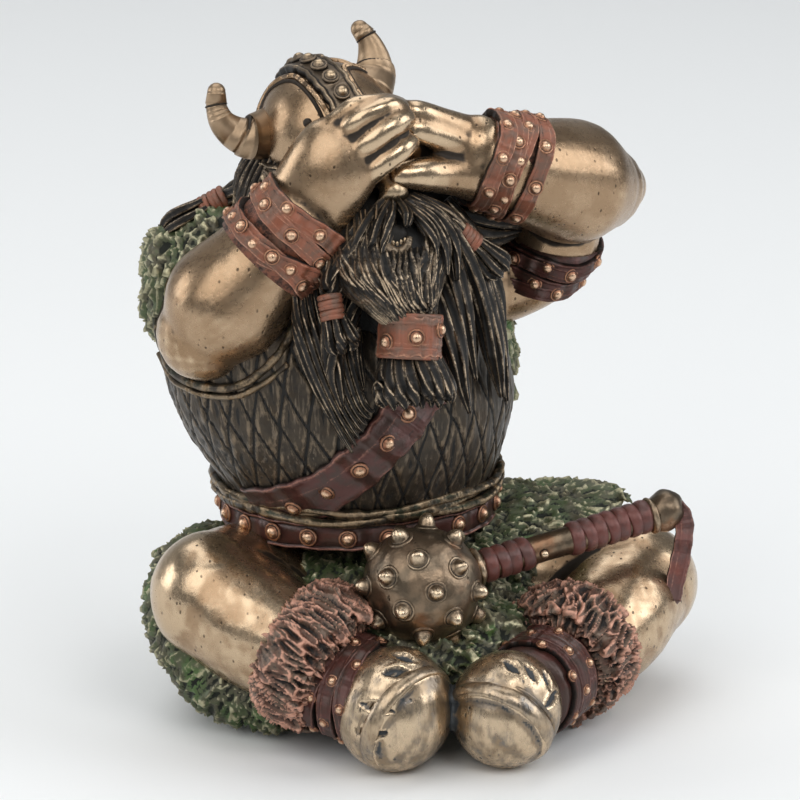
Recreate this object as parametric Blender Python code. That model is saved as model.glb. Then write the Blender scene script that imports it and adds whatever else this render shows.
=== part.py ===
# Seated viking warrior with both hands over the eyes: one solid casting, cut flat underneath.
# Metres, +Z up. The figure faces -Y, its left hand is at +X, and the origin is the middle of the footprint.

import math

import bmesh
import bpy
from mathutils import Euler, Matrix, Vector

# Driving sizes, in metres.
STATUE_HEIGHT = 0.110
MACE_BALL_RADIUS = 0.0102
MACE_SPIKE_LENGTH = 0.0026
MACE_HANDLE_RADIUS = 0.0023
MACE_POMMEL_RADIUS = 0.0031
HELMET_RADIUS = 0.0108
HORN_BASE_RADIUS = 0.0037
STUD_RADIUS = 0.0012
BELT_WIDTH = 0.0052
HEM_ROLL_RADIUS = 0.0013
BALDRIC_WIDTH = 0.0078
STRAP_THICKNESS = 0.0018
SHOE_SOLE_THICKNESS = 0.0026
BEARD_RING_RADIUS = 0.0057
BEARD_RING_HEIGHT = 0.0062

# The pose is modelled in shares of the height: one unit below is one 110th of it.
UNIT = STATUE_HEIGHT / 110
# Where the footprint's middle lies in the sculptor's axes, in units.
FOOTPRINT_CENTRE = (8.8, -8.9)

VOXEL = 0.85 * UNIT
FACES_WANTED = 9300


def at(point):
    """A place given in units, in metres."""
    return Vector(point) * UNIT


def keep(cast, bm):
    """Adds a finished shape to the casting's list."""
    mesh = bpy.data.meshes.new("shape")
    bm.to_mesh(mesh)
    bm.free()
    cast.append(mesh)


def ball(cast, centre, radii, turn=(0, 0, 0), segments=20):
    """An ellipsoid: centre and radii in units, turn in degrees about X, Y and Z."""
    spin = Euler([math.radians(angle) for angle in turn]).to_matrix().to_4x4()
    size = Matrix.Diagonal((*(Vector(radii) * UNIT), 1))
    bm = bmesh.new()
    bmesh.ops.create_uvsphere(
        bm, u_segments=segments, v_segments=segments // 2, radius=1,
        matrix=Matrix.Translation(at(centre)) @ spin @ size,
    )
    keep(cast, bm)


def curve_through(stations, steps):
    """Points on a smooth curve through the stations, each a tuple of numbers of any length."""
    ends = [stations[0], *stations, stations[-1]]
    found = []
    for a, b, c, d in zip(ends, ends[1:], ends[2:], ends[3:]):
        for step in range(steps):
            s = step / steps
            found.append([
                0.5 * (2 * q + (r - p) * s + (2 * p - 5 * q + 4 * r - t) * s * s
                       + (3 * q - p - 3 * r + t) * s ** 3)
                for p, q, r, t in zip(a, b, c, d)
            ])
    found.append(list(stations[-1]))
    return found


def tube(cast, stations, flat=1.0, up=(0, 0, 1), sides=12, steps=4):
    """A closed, smoothly bent tube. A station is x, y, z, radius in units; flat squeezes it along up."""
    path = curve_through(stations, steps)
    places = [at(point[:3]) for point in path]
    frames = []
    for i, point in enumerate(path):
        along = (places[min(i + 1, len(path) - 1)] - places[max(i - 1, 0)]).normalized()
        side = along.cross(Vector(up)).normalized()
        turn = Matrix((side, along.cross(side), along)).transposed().to_4x4()
        radius = max(point[3], 0.05) * UNIT
        size = Matrix.Diagonal((radius, radius * flat, radius, 1))
        frames.append(Matrix.Translation(places[i]) @ turn @ size)
    bm = bmesh.new()
    made = bmesh.ops.create_circle(bm, cap_ends=True, segments=sides, radius=1, matrix=frames[0])
    face = made["verts"][0].link_faces[0]
    for before, after in zip(frames, frames[1:]):
        grown = bmesh.ops.extrude_face_region(bm, geom=[face])["geom"]
        corners = [item for item in grown if isinstance(item, bmesh.types.BMVert)]
        face = next(item for item in grown if isinstance(item, bmesh.types.BMFace))
        bmesh.ops.transform(bm, matrix=after @ before.inverted(), verts=corners)
    keep(cast, bm)


def limb(cast, stations, **shape):
    """A tube with a ball at each end, so that it is rounded like flesh."""
    tube(cast, stations, **shape)
    for x, y, z, radius in (stations[0], stations[-1]):
        ball(cast, (x, y, z), (radius,) * 3, segments=16)


def hoop(cast, centre, radii, roll, turn=(0, 0, 0), tall=1.0, around=40):
    """A closed ring round an ellipse: roll is its thickness radius and tall stretches it along its axis."""
    spin = Euler([math.radians(angle) for angle in turn]).to_matrix().to_4x4()
    place = Matrix.Translation(at(centre)) @ spin
    bm = bmesh.new()
    section = bmesh.ops.create_circle(
        bm, segments=10, radius=1,
        matrix=Matrix.Translation((1, 0, 0)) @ Euler((math.pi / 2, 0, 0)).to_matrix().to_4x4()
        @ Matrix.Diagonal((roll / radii[0], roll * tall / radii[0], 1, 1)),
    )["verts"]
    edges = list({edge for vert in section for edge in vert.link_edges})
    bmesh.ops.spin(
        bm, geom=section + edges, axis=(0, 0, 1), cent=(0, 0, 0), angle=math.tau,
        steps=around, use_merge=True, use_duplicate=False,
    )
    size = Matrix.Diagonal((radii[0] * UNIT, radii[1] * UNIT, radii[0] * UNIT, 1))
    bmesh.ops.transform(bm, matrix=place @ size, verts=bm.verts)
    keep(cast, bm)


def stud(cast, place):
    ball(cast, place, (STUD_RADIUS / UNIT,) * 3, segments=8)


def on_hoop(centre, radii, angle):
    """A place on a level ellipse round centre; 0 degrees is the front and 90 its left."""
    a = math.radians(angle)
    return (centre[0] + radii[0] * math.sin(a), centre[1] - radii[1] * math.cos(a), centre[2])


WAIST = (3.0, 2.0)
WAIST_RADII = (21.5, 19.5)
HEM_LEVEL = 33.0
BELLY = ((1.0, 1.5, 51), (28.5, 25.5, 20.5))


def torso(cast):
    ball(cast, *BELLY)
    ball(cast, (0.5, 2.5, 63), (24.5, 20.5, 14))
    ball(cast, (2, 2, 40), (24, 21.5, 13))
    waist = WAIST_RADII[0]
    tube(cast, [(*WAIST, 16, waist), (*WAIST, 28, waist), (*WAIST, HEM_LEVEL + 3, waist)], sides=28,
         flat=WAIST_RADII[1] / waist, up=(0, 1, 0))
    roll = HEM_ROLL_RADIUS / UNIT
    hoop(cast, (*WAIST, HEM_LEVEL), (WAIST_RADII[0] + 0.8, WAIST_RADII[1] + 0.8), roll, turn=(0, 2, 0))
    width = BELT_WIDTH / UNIT
    belt = (*WAIST, HEM_LEVEL - roll - width / 2)
    belt_radii = (WAIST_RADII[0] + 0.4, WAIST_RADII[1] + 0.4)
    hoop(cast, belt, belt_radii, STRAP_THICKNESS / 2 / UNIT, tall=width * UNIT / STRAP_THICKNESS)
    for step in range(20):
        stud(cast, on_hoop(belt, [r + 0.9 for r in belt_radii], step * 18))


def baldric(cast):
    """The studded strap across the chest, from over his left breast to his right hip."""
    line = [(14, -16, 72), (9, -22, 66), (4.5, -24.8, 59), (-0.5, -25.4, 52), (-6, -24.2, 45), (-11.5, -20.5, 38.5)]
    half = BALDRIC_WIDTH / 2 / UNIT
    tube(cast, [(*place, half) for place in line], flat=STRAP_THICKNESS / BALDRIC_WIDTH * 1.3, up=(-0.1, -1, 0.0))
    for x, y, z in line[2:5]:
        stud(cast, (x, y - 1.3, z))


def shaggy(cast, centre, radii, rows, per_row, levels=(-0.9, 0.9), arc=(0, 360), length=5.0, drop=0.7):
    """Tapered tufts laid over an ellipsoid, pointing down and outwards, row under row."""
    for row in range(rows):
        share = levels[0] + (levels[1] - levels[0]) * row / max(rows - 1, 1)
        wide = math.sqrt(max(1 - share * share, 0.05))
        for step in range(per_row):
            turn = arc[0] + (arc[1] - arc[0]) * (step + 0.5 * (row % 2)) / per_row
            a = math.radians(turn)
            root = Vector((
                centre[0] + radii[0] * wide * math.sin(a),
                centre[1] - radii[1] * wide * math.cos(a),
                centre[2] + radii[2] * share,
            ))
            out = Vector((math.sin(a) * wide, -math.cos(a) * wide, share)).normalized()
            tip = root + (out * (1 - drop) + Vector((0, 0, -drop))) * length
            middle = (root + tip) / 2 + out * 0.8
            tube(cast, [(*root, 2.0), (*middle, 1.7), (*tip, 0.4)], sides=6, steps=2)


def cloak(cast):
    ball(cast, (0, 8, 55), (28.5, 22.5, 22))
    ball(cast, (0, 8, 68), (26, 17, 12))
    shaggy(cast, (0, 8, 55), (28, 22, 22), rows=6, per_row=14, levels=(-0.8, 0.85), arc=(62, 298))
    shaggy(cast, (0, 9, 68), (25.5, 16.5, 11.5), rows=3, per_row=13, levels=(0.1, 0.85), arc=(80, 280))


HEAD_TURN = Euler((math.radians(-4), math.radians(-14), math.radians(16)))
HELMET_CENTRE = (-3.8, -1.5, 94.4)


def by_head(x, y, z):
    """A place in the head's own axes, in units from the middle of the helmet, as the sculptor's place."""
    return tuple(Vector(HELMET_CENTRE) + HEAD_TURN.to_matrix() @ Vector((x, y, z)))


def helmet(cast):
    r = HELMET_RADIUS / UNIT
    degrees = tuple(math.degrees(a) for a in HEAD_TURN)
    ball(cast, HELMET_CENTRE, (r, r * 1.08, r), turn=degrees, segments=28)
    tube(cast, [(*by_head(0, 0, -5), r * 0.99), (*by_head(0, 0, 0), r)], sides=24, up=(0, 1, 0), steps=2)
    crest = [by_head(0, -math.sin(a) * (r * 1.1 + 0.5), math.cos(a) * (r + 0.5))
             for a in [math.radians(d) for d in range(-100, 101, 20)]]
    tube(cast, [(*place, 2.6) for place in crest], flat=0.35, up=(1, 0.2, 0.2), steps=2)
    cross = [by_head(math.sin(a) * (r + 0.4), 0, math.cos(a) * (r + 0.4))
             for a in [math.radians(d) for d in range(-100, 101, 20)]]
    tube(cast, [(*place, 2.0) for place in cross], flat=0.35, up=(0, 1, 0), steps=2)
    hoop(cast, by_head(0, 0, -4.2), (r + 0.3, r * 1.08 + 0.3), 0.9, turn=degrees, tall=2.2)
    for degrees_on in range(-80, 81, 20):
        a = math.radians(degrees_on)
        for side in (-1.2, 1.2):
            stud(cast, by_head(side, -math.sin(a) * (r * 1.1 + 1.0), math.cos(a) * (r + 1.0)))
    for step in range(12):
        a = math.radians(step * 30 + 15)
        stud(cast, by_head(math.sin(a) * (r + 1), -math.cos(a) * (r * 1.08 + 1), -4.2))


def horns(cast):
    r = HORN_BASE_RADIUS / UNIT
    his_right = [(-11.2, 0, 92.9), (-15.8, -1, 92.8), (-19.4, -0.5, 94.8), (-21.0, 0.5, 98.0), (-21.0, 1.2, 100.8)]
    his_left = [(2.6, -1, 98.4), (5.4, 1, 100.6), (7.2, 3, 103.4), (6.4, 5, 106.4), (4.6, 6, 108.4)]
    for places in (his_right, his_left):
        sizes = [r * 1.12, r * 0.98, r * 0.8, r * 0.6, r * 0.42]
        limb(cast, [(*place, size) for place, size in zip(places, sizes)], sides=14)
        collar = Vector(places[0]).lerp(Vector(places[1]), 0.45)
        ball(cast, collar, (r * 1.12,) * 3, segments=14)


def head(cast):
    ball(cast, (-2.5, -4.5, 89), (9.3, 9.6, 10.5))
    ball(cast, (-1, 1, 80), (10, 9, 10))
    limb(cast, [(-0.2, -13.5, 91, 1.6), (1.0, -17.2, 88.6, 2.2)])
    ball(cast, (1.2, -17.6, 87.9), (2.5, 2.1, 1.8))


def hair(cast):
    """The hair below the helmet, down to the shoulders behind."""
    ball(cast, (-4, 3.5, 87), (11.2, 10.8, 10))
    ball(cast, (-1, 3, 78), (15, 12, 9))
    ball(cast, (8, -8.5, 83), (8.5, 8, 8.5))
    ball(cast, (16, -3, 78), (9, 8, 7))
    ball(cast, (24, 0, 78), (8, 6, 6))
    ball(cast, (-13, -6, 78), (8.5, 8, 8))


def lock(cast, stations, **shape):
    tube(cast, stations, sides=8, **shape)


def beard(cast):
    ball(cast, (0, -16, 80), (11, 8.5, 8))
    ball(cast, (-0.5, -22, 77), (8.6, 8, 8.6))
    ball(cast, (-0.8, -25, 72.5), (6.6, 5.6, 6.5))
    ball(cast, (-1, -17, 62), (14, 8, 14))
    tube(cast, [(0.4, -17, 84, 7.5), (0, -22, 79, 8.2), (-0.6, -26.2, 73, 6.4), (-0.8, -28.2, 69, 5.4)], sides=16)
    for side in (-1, 1):
        for reach, low in ((3.2, 76), (5.6, 78), (7.6, 80)):
            lock(cast, [
                (0.8 + side * 1.2, -19.5, 85, 1.4), (0.4 + side * reach, -22.5 + reach * 0.2, 82, 1.9),
                (-0.4 + side * reach, -25.0 + reach * 0.5, low - 2, 1.8), (-0.8 + side * 3, -28.6, 70, 1.0)])
    r = BEARD_RING_RADIUS / UNIT
    h = BEARD_RING_HEIGHT / UNIT
    ring_tilt = (-14, 0, 0)
    ring_at = (-0.9, -29.0, 67.4)
    down = Euler([math.radians(a) for a in ring_tilt]).to_matrix() @ Vector((0, 0, -1))
    top, bottom = Vector(ring_at) - down * h / 2, Vector(ring_at) + down * h / 2
    tube(cast, [(*top, r), (*bottom, r)], sides=20, up=(0, 1, 0), steps=1)
    for place in (top, bottom):
        hoop(cast, place, (r, r), 0.9, turn=ring_tilt, around=24)
    for angle in (-75, -30, 15, 60):
        stud(cast, on_hoop(ring_at, (r + 0.3, r + 0.3), angle))
    tube(cast, [(*bottom, r * 0.86), (-1.0, -30.2, 62, r * 1.05), (-1.0, -31.0, 58.6, r * 1.3)], sides=14, flat=0.8,
         up=(0, 1, 0))
    for step in range(7):
        a = math.radians(-90 + step * 30)
        x, y = math.sin(a), -math.cos(a)
        lock(cast, [(-1 + x * 4, -29.6 + y * 2.6, 63, 1.4), (-1 + x * 6.4, -30.6 + y * 4, 58, 1.5),
                  (-1 + x * 6.8, -30.6 + y * 4.4, 56, 0.6)])


def long_locks(cast):
    """The moustache's ends and the long hair that falls over the tunic on both sides."""
    lock(cast, [(2, -18.5, 86, 1.4), (7, -21, 83.5, 2.0), (11.5, -21.4, 78, 2.6), (14.2, -20.4, 71, 3.0),
              (16.5, -19.4, 63, 2.6), (18, -17.8, 56, 1.8), (17.5, -17.4, 52, 0.6)])
    lock(cast, [(5, -19, 84, 1.4), (9.5, -21, 79, 2.2), (12.4, -22.4, 70, 2.2), (14.8, -22, 61, 1.6), (15.5, -21, 55, 0.6)])
    lock(cast, [(0, -18.5, 86, 1.2), (-5, -21, 83, 2.0), (-9.5, -22.5, 77, 2.2), (-13.0, -23.6, 70, 2.2),
              (-15.5, -24, 63, 2.0)])
    for shift in (-4.4, -1.6, 1.2, 4.0):
        lock(cast, [(-13 + shift * 0.8, -17.0, 73, 2.0), (-15.5 + shift, -18.8, 66, 2.8),
                    (-14.0 + shift * 1.1, -20.0, 58, 2.6), (-10.0 + shift * 1.3, -22.0, 51, 1.9),
                    (-6.5 + shift * 1.2, -23.6, 46, 0.6)])


def braid(cast, root, tie, tip, width):
    """A tied plait: a swelling, a leather band round its waist, and a flared tassel."""
    root, tie, tip = Vector(root), Vector(tie), Vector(tip)
    tube(cast, [(*root, width), (*root.lerp(tie, 0.5), width * 1.15), (*tie, width * 0.8)], sides=10)
    band = (tip - tie).normalized() * width * 1.2
    tube(cast, [(*(tie - band), width * 1.0), (*(tie + band), width * 1.0)], sides=12, steps=1)
    tassel = [(*tie, width * 0.8), (*tie.lerp(tip, 0.55), width * 1.15), (*tie.lerp(tip, 0.85), width * 1.1),
              (*tip, width * 0.4)]
    tube(cast, tassel, sides=10)


def braids(cast):
    braid(cast, (-10.5, -21, 79), (-12.8, -25.2, 73.2), (-12.6, -26.6, 66.4), 2.1)
    braid(cast, (9.5, -19, 83), (13.6, -22.4, 79.4), (18.2, -22.0, 74.2), 2.3)
    braid(cast, (-11.2, 4.8, 85.4), (-17.0, 11.4, 80.6), (-23.8, 18.6, 77.2), 3.4)
    braid(cast, (3, 10, 84), (5, 17.5, 79), (6, 24.0, 72), 3.4)


def finger(cast, places, radius):
    limb(cast, [(*place, radius * share) for place, share in zip(places, (1.05, 1.0, 0.95, 0.85))], sides=10, steps=3)


def arms(cast):
    ball(cast, (-22.5, 3, 68), (9.5, 10, 10.5))
    limb(cast, [(-23, 2, 67, 9.0), (-26.0, -3, 64.5, 9.2)])
    limb(cast, [(-25.6, -6.8, 63.8, 9.0), (-23.4, -9.8, 68.8, 10.2), (-19.8, -12.6, 74.6, 8.6), (-13.4, -14.2, 82.4, 6.6)])
    ball(cast, (-9.5, -15.2, 87.2), (6.0, 4.4, 5.8), turn=(0, 30, 0))
    ball(cast, (-7.6, -16.8, 92.4), (6.2, 4.3, 7.0), turn=(0, 35, 0))
    finger(cast, ((-8.0, -17.0, 98.0), (-5.4, -18.2, 101.6), (-1.8, -17.6, 102.2), (1.3, -15.8, 101.8)), 1.75)
    finger(cast, ((-8.2, -18.6, 96.6), (-5.2, -20.8, 100.2), (-1.6, -20.9, 101.4), (1.5, -19.4, 101.0)), 1.8)
    finger(cast, ((-7.1, -19.6, 94.4), (-4.7, -22.7, 97.6), (-1.3, -22.6, 99.2), (1.7, -21.4, 98.8)), 1.8)
    finger(cast, ((-5.4, -20.2, 91.4), (-3.4, -23.3, 94.0), (-0.3, -23.2, 95.8), (1.9, -22.4, 96.0)), 1.7)
    ball(cast, (22.5, 3.5, 66), (9, 9.5, 10))
    limb(cast, [(24, 3, 65, 8.4), (33, 1.4, 69.6, 8.2), (38.5, 0, 74.5, 8.6)])
    limb(cast, [(42.0, -2.6, 78.0, 8.2), (37.6, -6.2, 81.4, 8.7), (30.0, -10.8, 85.0, 7.8), (20.1, -14.3, 89.1, 6.2)])
    ball(cast, (46.2, -2.2, 79.2), (4.8, 4.8, 5.0))
    ball(cast, (15.5, -15.6, 90.6), (5.4, 4.2, 5.4))
    ball(cast, (11.0, -16.6, 92.8), (5.6, 4.0, 6.0))
    finger(cast, ((10.4, -16.6, 97.2), (6.4, -16.6, 99.6), (3.0, -15.4, 100.2), (0.2, -14.6, 100.2)), 1.7)
    finger(cast, ((9.2, -17.8, 95.6), (5.2, -18.0, 97.8), (2.4, -16.8, 98.8), (0, -16, 99)), 1.7)
    finger(cast, ((8.6, -18.4, 93.2), (5.1, -19.0, 95.2), (2.4, -17.6, 96.2), (0, -17, 96.5)), 1.7)
    finger(cast, ((9.7, -18.4, 90.4), (5.5, -19.6, 91.6), (2.4, -19.8, 92.2), (0.8, -19.4, 92.6)), 1.7)


def cuff(cast, start, end, radius, wraps, thickness=0.9):
    """A leather bracer: a sleeve between two places, wound with a strap, with studs along the winding."""
    start, end = Vector(start), Vector(end)
    tube(cast, [(*start, radius[0]), (*end, radius[1])], sides=22, steps=2)
    axis = (end - start).normalized()
    side = axis.cross(Vector((0, 0, 1))).normalized()
    other = axis.cross(side)
    for turn in range(wraps * 8):
        share = (turn + 0.5) / (wraps * 8)
        a = turn * math.tau / 8 + share * 1.9
        r = radius[0] + (radius[1] - radius[0]) * share + thickness * 0.3
        stud(cast, start.lerp(end, share) + (side * math.cos(a) + other * math.sin(a)) * r)
    for share in (0.0, 1.0):
        r = radius[0] + (radius[1] - radius[0]) * share
        place = start.lerp(end, share)
        turned = Vector((0, 0, 1)).rotation_difference(axis).to_euler()
        hoop(cast, place, (r, r), thickness, turn=[math.degrees(x) for x in turned], around=24)


def leather(cast):
    cuff(cast, (-19.0, -13.2, 77.2), (-11.8, -14.4, 84.6), (9.0, 7.4), 2)
    cuff(cast, (29.2, -11.2, 85.6), (18.6, -14.7, 89.6), (8.6, 7.0), 2)
    cuff(cast, (30.0, 1.8, 67.6), (35.0, 1.0, 71.2), (9.3, 9.4), 1)


def leg(cast, hip, knee, ankle, thick):
    tube(cast, [(*hip, thick[0]), (*Vector(hip).lerp(Vector(knee), 0.55), thick[0]), (*knee, thick[1])], sides=18)
    ball(cast, knee, (thick[1],) * 3)
    shin = Vector(knee).lerp(Vector(ankle), 0.45)
    tube(cast, [(*knee, thick[1] * 0.96), (*shin, thick[1] * 0.98), (*ankle, thick[2])], sides=18)


def legs(cast):
    leg(cast, (-8, 4, 14), (-27.2, -7.5, 22.8), (-12.5, -25.5, 13.2), (12.5, 10.4, 7.6))
    leg(cast, (14, 4, 13), (45.0, -14.0, 16.4), (27.5, -30.5, 11.0), (12.5, 10.2, 7.6))
    ball(cast, (3, 6, 12), (24, 18, 13))


def fur_cuff(cast, centre, axis, radius, thick):
    """The thick fur top of a boot: a fat ring round the shin, with tufts pointing to the foot."""
    axis = Vector(axis).normalized()
    turned = Vector((0, 0, 1)).rotation_difference(axis).to_euler()
    hoop(cast, centre, (radius, radius), thick, turn=[math.degrees(x) for x in turned], tall=1.5, around=28)
    side = axis.cross(Vector((0, 0, 1))).normalized()
    other = axis.cross(side)
    for step in range(16):
        a = step * math.tau / 16
        out = side * math.cos(a) + other * math.sin(a)
        root = Vector(centre) + out * (radius + thick * 0.55) - axis * thick * 0.8
        tip = Vector(centre) + out * (radius + thick * 0.7) + axis * thick * 1.5
        tube(cast, [(*root, 1.8), (*root.lerp(tip, 0.5) + out * 1.0, 2.0), (*tip, 0.7)], sides=6, steps=2)


def boots(cast):
    fur_cuff(cast, (-14.8, -21.8, 15.6), (0.62, -0.74, -0.42), 8.4, 4.8)
    fur_cuff(cast, (31.0, -27.2, 12.6), (-0.68, -0.62, -0.26), 8.0, 4.8)
    for centre, toe in (((-6.2, -34.4, 9.6), 1), ((11.4, -40.0, 9.6), -1)):
        shoe(cast, centre, toe)
    tube(cast, [(-13, -25, 12.6, 7.4), (-8, -30, 10.6, 8.2)], sides=16, steps=2)
    tube(cast, [(27.5, -30.5, 11.2, 7.4), (17, -36, 10.2, 8.2)], sides=16, steps=2)


def shoe(cast, centre, inward):
    """A stubby shoe seen from below: a round upper and a thick, slightly domed sole facing forwards."""
    centre = Vector(centre)
    ball(cast, centre, (9.2, 8.6, 10.2), segments=24)
    sole = SHOE_SOLE_THICKNESS / UNIT
    facing = Vector((inward * 0.45, -0.88, -0.1)).normalized()
    middle = centre + facing * 5.2
    tube(cast, [(*middle, 9.0), (*(middle + facing * sole), 8.2), (*(middle + facing * (sole + 0.9)), 6.2)],
         sides=24, up=(1, 0, 0), flat=0.9, steps=1)


def kilt(cast):
    """The green pelt over the lap and both thighs."""
    ball(cast, (3, -6, 18), (27, 20, 13.5))
    tube(cast, [(6, 2, 20, 11), (24, -3, 19.5, 11.5), (43, -8, 18.5, 10.5)], sides=18)
    tube(cast, [(-4, 2, 20, 11), (-18, 2, 20, 11.5), (-28.5, -2, 21.5, 10.6)], sides=18)
    ball(cast, (9, -20, 12), (24, 14, 10))
    ball(cast, (26, -4, 20), (18, 12, 10.5))
    shaggy(cast, (3, -6, 18), (27, 20, 13.5), rows=4, per_row=16, levels=(0.1, 0.85), arc=(-80, 80))
    for x in range(-22, 45, 6):
        drop = abs(x - 8) * 0.08
        tube(cast, [(x, -2 + drop, 29.6 - drop, 2.6), (x + 2, -8 + drop, 29 - drop, 2.6), (x + 3, -13, 26 - drop, 1.0)],
             sides=6, steps=2)


def mace(cast):
    ball_at = Vector((4.6, -24.0, 25.0))
    end = Vector((45.6, -22.6, 32.0))
    r = MACE_BALL_RADIUS / UNIT
    ball(cast, ball_at, (r,) * 3, segments=28)
    along = (end - ball_at).normalized()
    handle = MACE_HANDLE_RADIUS / UNIT
    tube(cast, [(*ball_at, handle), (*end, handle)], sides=14, steps=2)
    reach = (end - ball_at).length
    for start, turns in ((0.235, 4), (0.60, 7)):
        for turn in range(turns):
            share = start + (turn + 0.5) * 0.045
            hoop(cast, ball_at + along * reach * share, (handle + 0.3,) * 2, 0.75,
                 turn=[math.degrees(x) for x in Vector((0, 0, 1)).rotation_difference(along).to_euler()], around=16)
    pommel = MACE_POMMEL_RADIUS / UNIT
    ball(cast, end, (pommel,) * 3, segments=18)
    spike = MACE_SPIKE_LENGTH / UNIT
    for i in range(26):
        level = 1 - 2 * (i + 0.5) / 26
        a = i * math.pi * (3 - math.sqrt(5))
        out = Vector((math.cos(a) * math.sqrt(1 - level * level), math.sin(a) * math.sqrt(1 - level * level), level))
        foot = ball_at + out * (r - 0.4)
        tube(cast, [(*foot, 1.6), (*(foot + out * spike), 0.5)], sides=8, steps=1, up=(0.3, 0.5, 0.81))
    tube(cast, [(46.5, -24.0, 33.6, 1.8), (49.0, -25.2, 31.5, 1.9), (49.2, -25.8, 25.5, 1.9), (47.6, -26.4, 19.5, 2.1),
              (46.6, -26.6, 16.4, 1.6)], flat=0.5, up=(-0.35, -0.9, 0.2), sides=10)


def build_statue():
    cast = []
    for shape in (torso, baldric, cloak, helmet, horns, head, hair, beard, long_locks, braids,
                  arms, leather, legs, boots, kilt, mace):
        shape(cast)
    bm = bmesh.new()
    for mesh in cast:
        bm.from_mesh(mesh)
        bpy.data.meshes.remove(mesh)
    bmesh.ops.recalc_face_normals(bm, faces=bm.faces)
    bmesh.ops.translate(bm, verts=bm.verts, vec=-at((*FOOTPRINT_CENTRE, 0)))
    return place_in_scene(bm, "viking_statue")


def place_in_scene(bm, name):
    mesh = bpy.data.meshes.new(name)
    bm.to_mesh(mesh)
    bm.free()
    made = bpy.data.objects.new(name, mesh)
    bpy.context.scene.collection.objects.link(made)
    return made


def finish_shape(statue):
    """Makes what the modifiers give the statue's own mesh."""
    graph = bpy.context.evaluated_depsgraph_get()
    mesh = bpy.data.meshes.new_from_object(statue.evaluated_get(graph))
    statue.modifiers.clear()
    statue.data = mesh


def one_skin(statue):
    """Every shape runs into one closed skin."""
    skin = statue.modifiers.new("one_skin", "REMESH")
    skin.mode = "VOXEL"
    skin.voxel_size = VOXEL
    finish_shape(statue)


def fill_inside(statue):
    """The casting is solid: only the largest shell stays, which is the outer one."""
    bm = bmesh.new()
    bm.from_mesh(statue.data)
    shells = []
    waiting = set(bm.verts)
    while waiting:
        shell = [waiting.pop()]
        for vert in shell:
            for edge in vert.link_edges:
                other = edge.other_vert(vert)
                if other in waiting:
                    waiting.remove(other)
                    shell.append(other)
        shells.append(shell)
    shells.sort(key=len)
    bmesh.ops.delete(bm, geom=[vert for shell in shells[:-1] for vert in shell], context="VERTS")
    bm.to_mesh(statue.data)
    bm.free()


def lighten(statue):
    """Softens the steps of the skin and drops the faces the shape doesn't need."""
    soften = statue.modifiers.new("soften", "SMOOTH")
    soften.factor = 0.5
    soften.iterations = 2
    fewer = statue.modifiers.new("fewer_faces", "DECIMATE")
    fewer.ratio = FACES_WANTED / (2 * len(statue.data.polygons))
    finish_shape(statue)


def cut_flat(statue):
    """A block under the ground takes away whatever hangs below it, so the statue stands flat."""
    bm = bmesh.new()
    side = 3 * STATUE_HEIGHT
    bmesh.ops.create_cube(bm, size=side, matrix=Matrix.Translation((0, 0, -side / 2)))
    cutter = place_in_scene(bm, "ground_cutter")
    cutter.display_type = "WIRE"
    cutter.hide_render = True
    flat = statue.modifiers.new("flat_underside", "BOOLEAN")
    flat.operation = "DIFFERENCE"
    flat.solver = "EXACT"
    flat.object = cutter


def bronze():
    material = bpy.data.materials.new("cast_bronze")
    material.use_nodes = True
    shader = material.node_tree.nodes["Principled BSDF"]
    shader.inputs["Base Color"].default_value = (0.30, 0.21, 0.12, 1)
    shader.inputs["Metallic"].default_value = 0.9
    shader.inputs["Roughness"].default_value = 0.35
    return material


def main():
    for obj in list(bpy.data.objects):
        bpy.data.objects.remove(obj)
    statue = build_statue()
    one_skin(statue)
    fill_inside(statue)
    lighten(statue)
    cut_flat(statue)
    statue.data.materials.append(bronze())
    statue.data.shade_smooth()


main()
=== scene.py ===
# Seated viking figurine, cast in bronze resin, painted and rubbed back.
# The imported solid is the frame. Everything seen is modelled here, in the sculptor's units, and rides on it.

import math
import random

import bmesh
import bpy
import numpy as np
from mathutils import Euler, Matrix, Vector, noise
from mathutils.bvhtree import BVHTree


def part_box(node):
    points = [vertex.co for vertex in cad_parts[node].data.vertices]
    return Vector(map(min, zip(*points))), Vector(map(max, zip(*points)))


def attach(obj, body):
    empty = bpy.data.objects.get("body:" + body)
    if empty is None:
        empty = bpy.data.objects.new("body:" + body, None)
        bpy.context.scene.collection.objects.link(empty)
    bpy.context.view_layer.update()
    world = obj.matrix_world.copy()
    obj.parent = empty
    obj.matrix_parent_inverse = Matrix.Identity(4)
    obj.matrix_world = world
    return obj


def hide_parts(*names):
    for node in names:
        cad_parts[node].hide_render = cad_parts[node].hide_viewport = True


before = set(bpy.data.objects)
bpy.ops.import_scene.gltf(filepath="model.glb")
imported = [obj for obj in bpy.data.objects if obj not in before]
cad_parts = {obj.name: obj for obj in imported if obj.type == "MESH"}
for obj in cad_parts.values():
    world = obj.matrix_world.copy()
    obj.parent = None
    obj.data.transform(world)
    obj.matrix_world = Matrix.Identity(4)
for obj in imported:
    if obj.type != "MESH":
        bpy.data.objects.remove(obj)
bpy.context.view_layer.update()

figure = {
    "tall": 109.9,  # the casting's height in the sculptor's units
    "footprint": Vector((8.8, -8.9, 0)),  # the middle of the footprint in the sculptor's axes
    "node": "viking_statue",
    "thinnest": 0.04,  # the least radius at a tube's tip
}
closedRound = (0, 362)  # degrees; a closed strap's ends lap over each other
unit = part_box(figure["node"])[1].z / figure["tall"]


def at(place):
    return (Vector(place) - figure["footprint"]) * unit


def turnOf(degrees):
    return Euler([math.radians(angle) for angle in degrees]).to_matrix().to_4x4()


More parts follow.
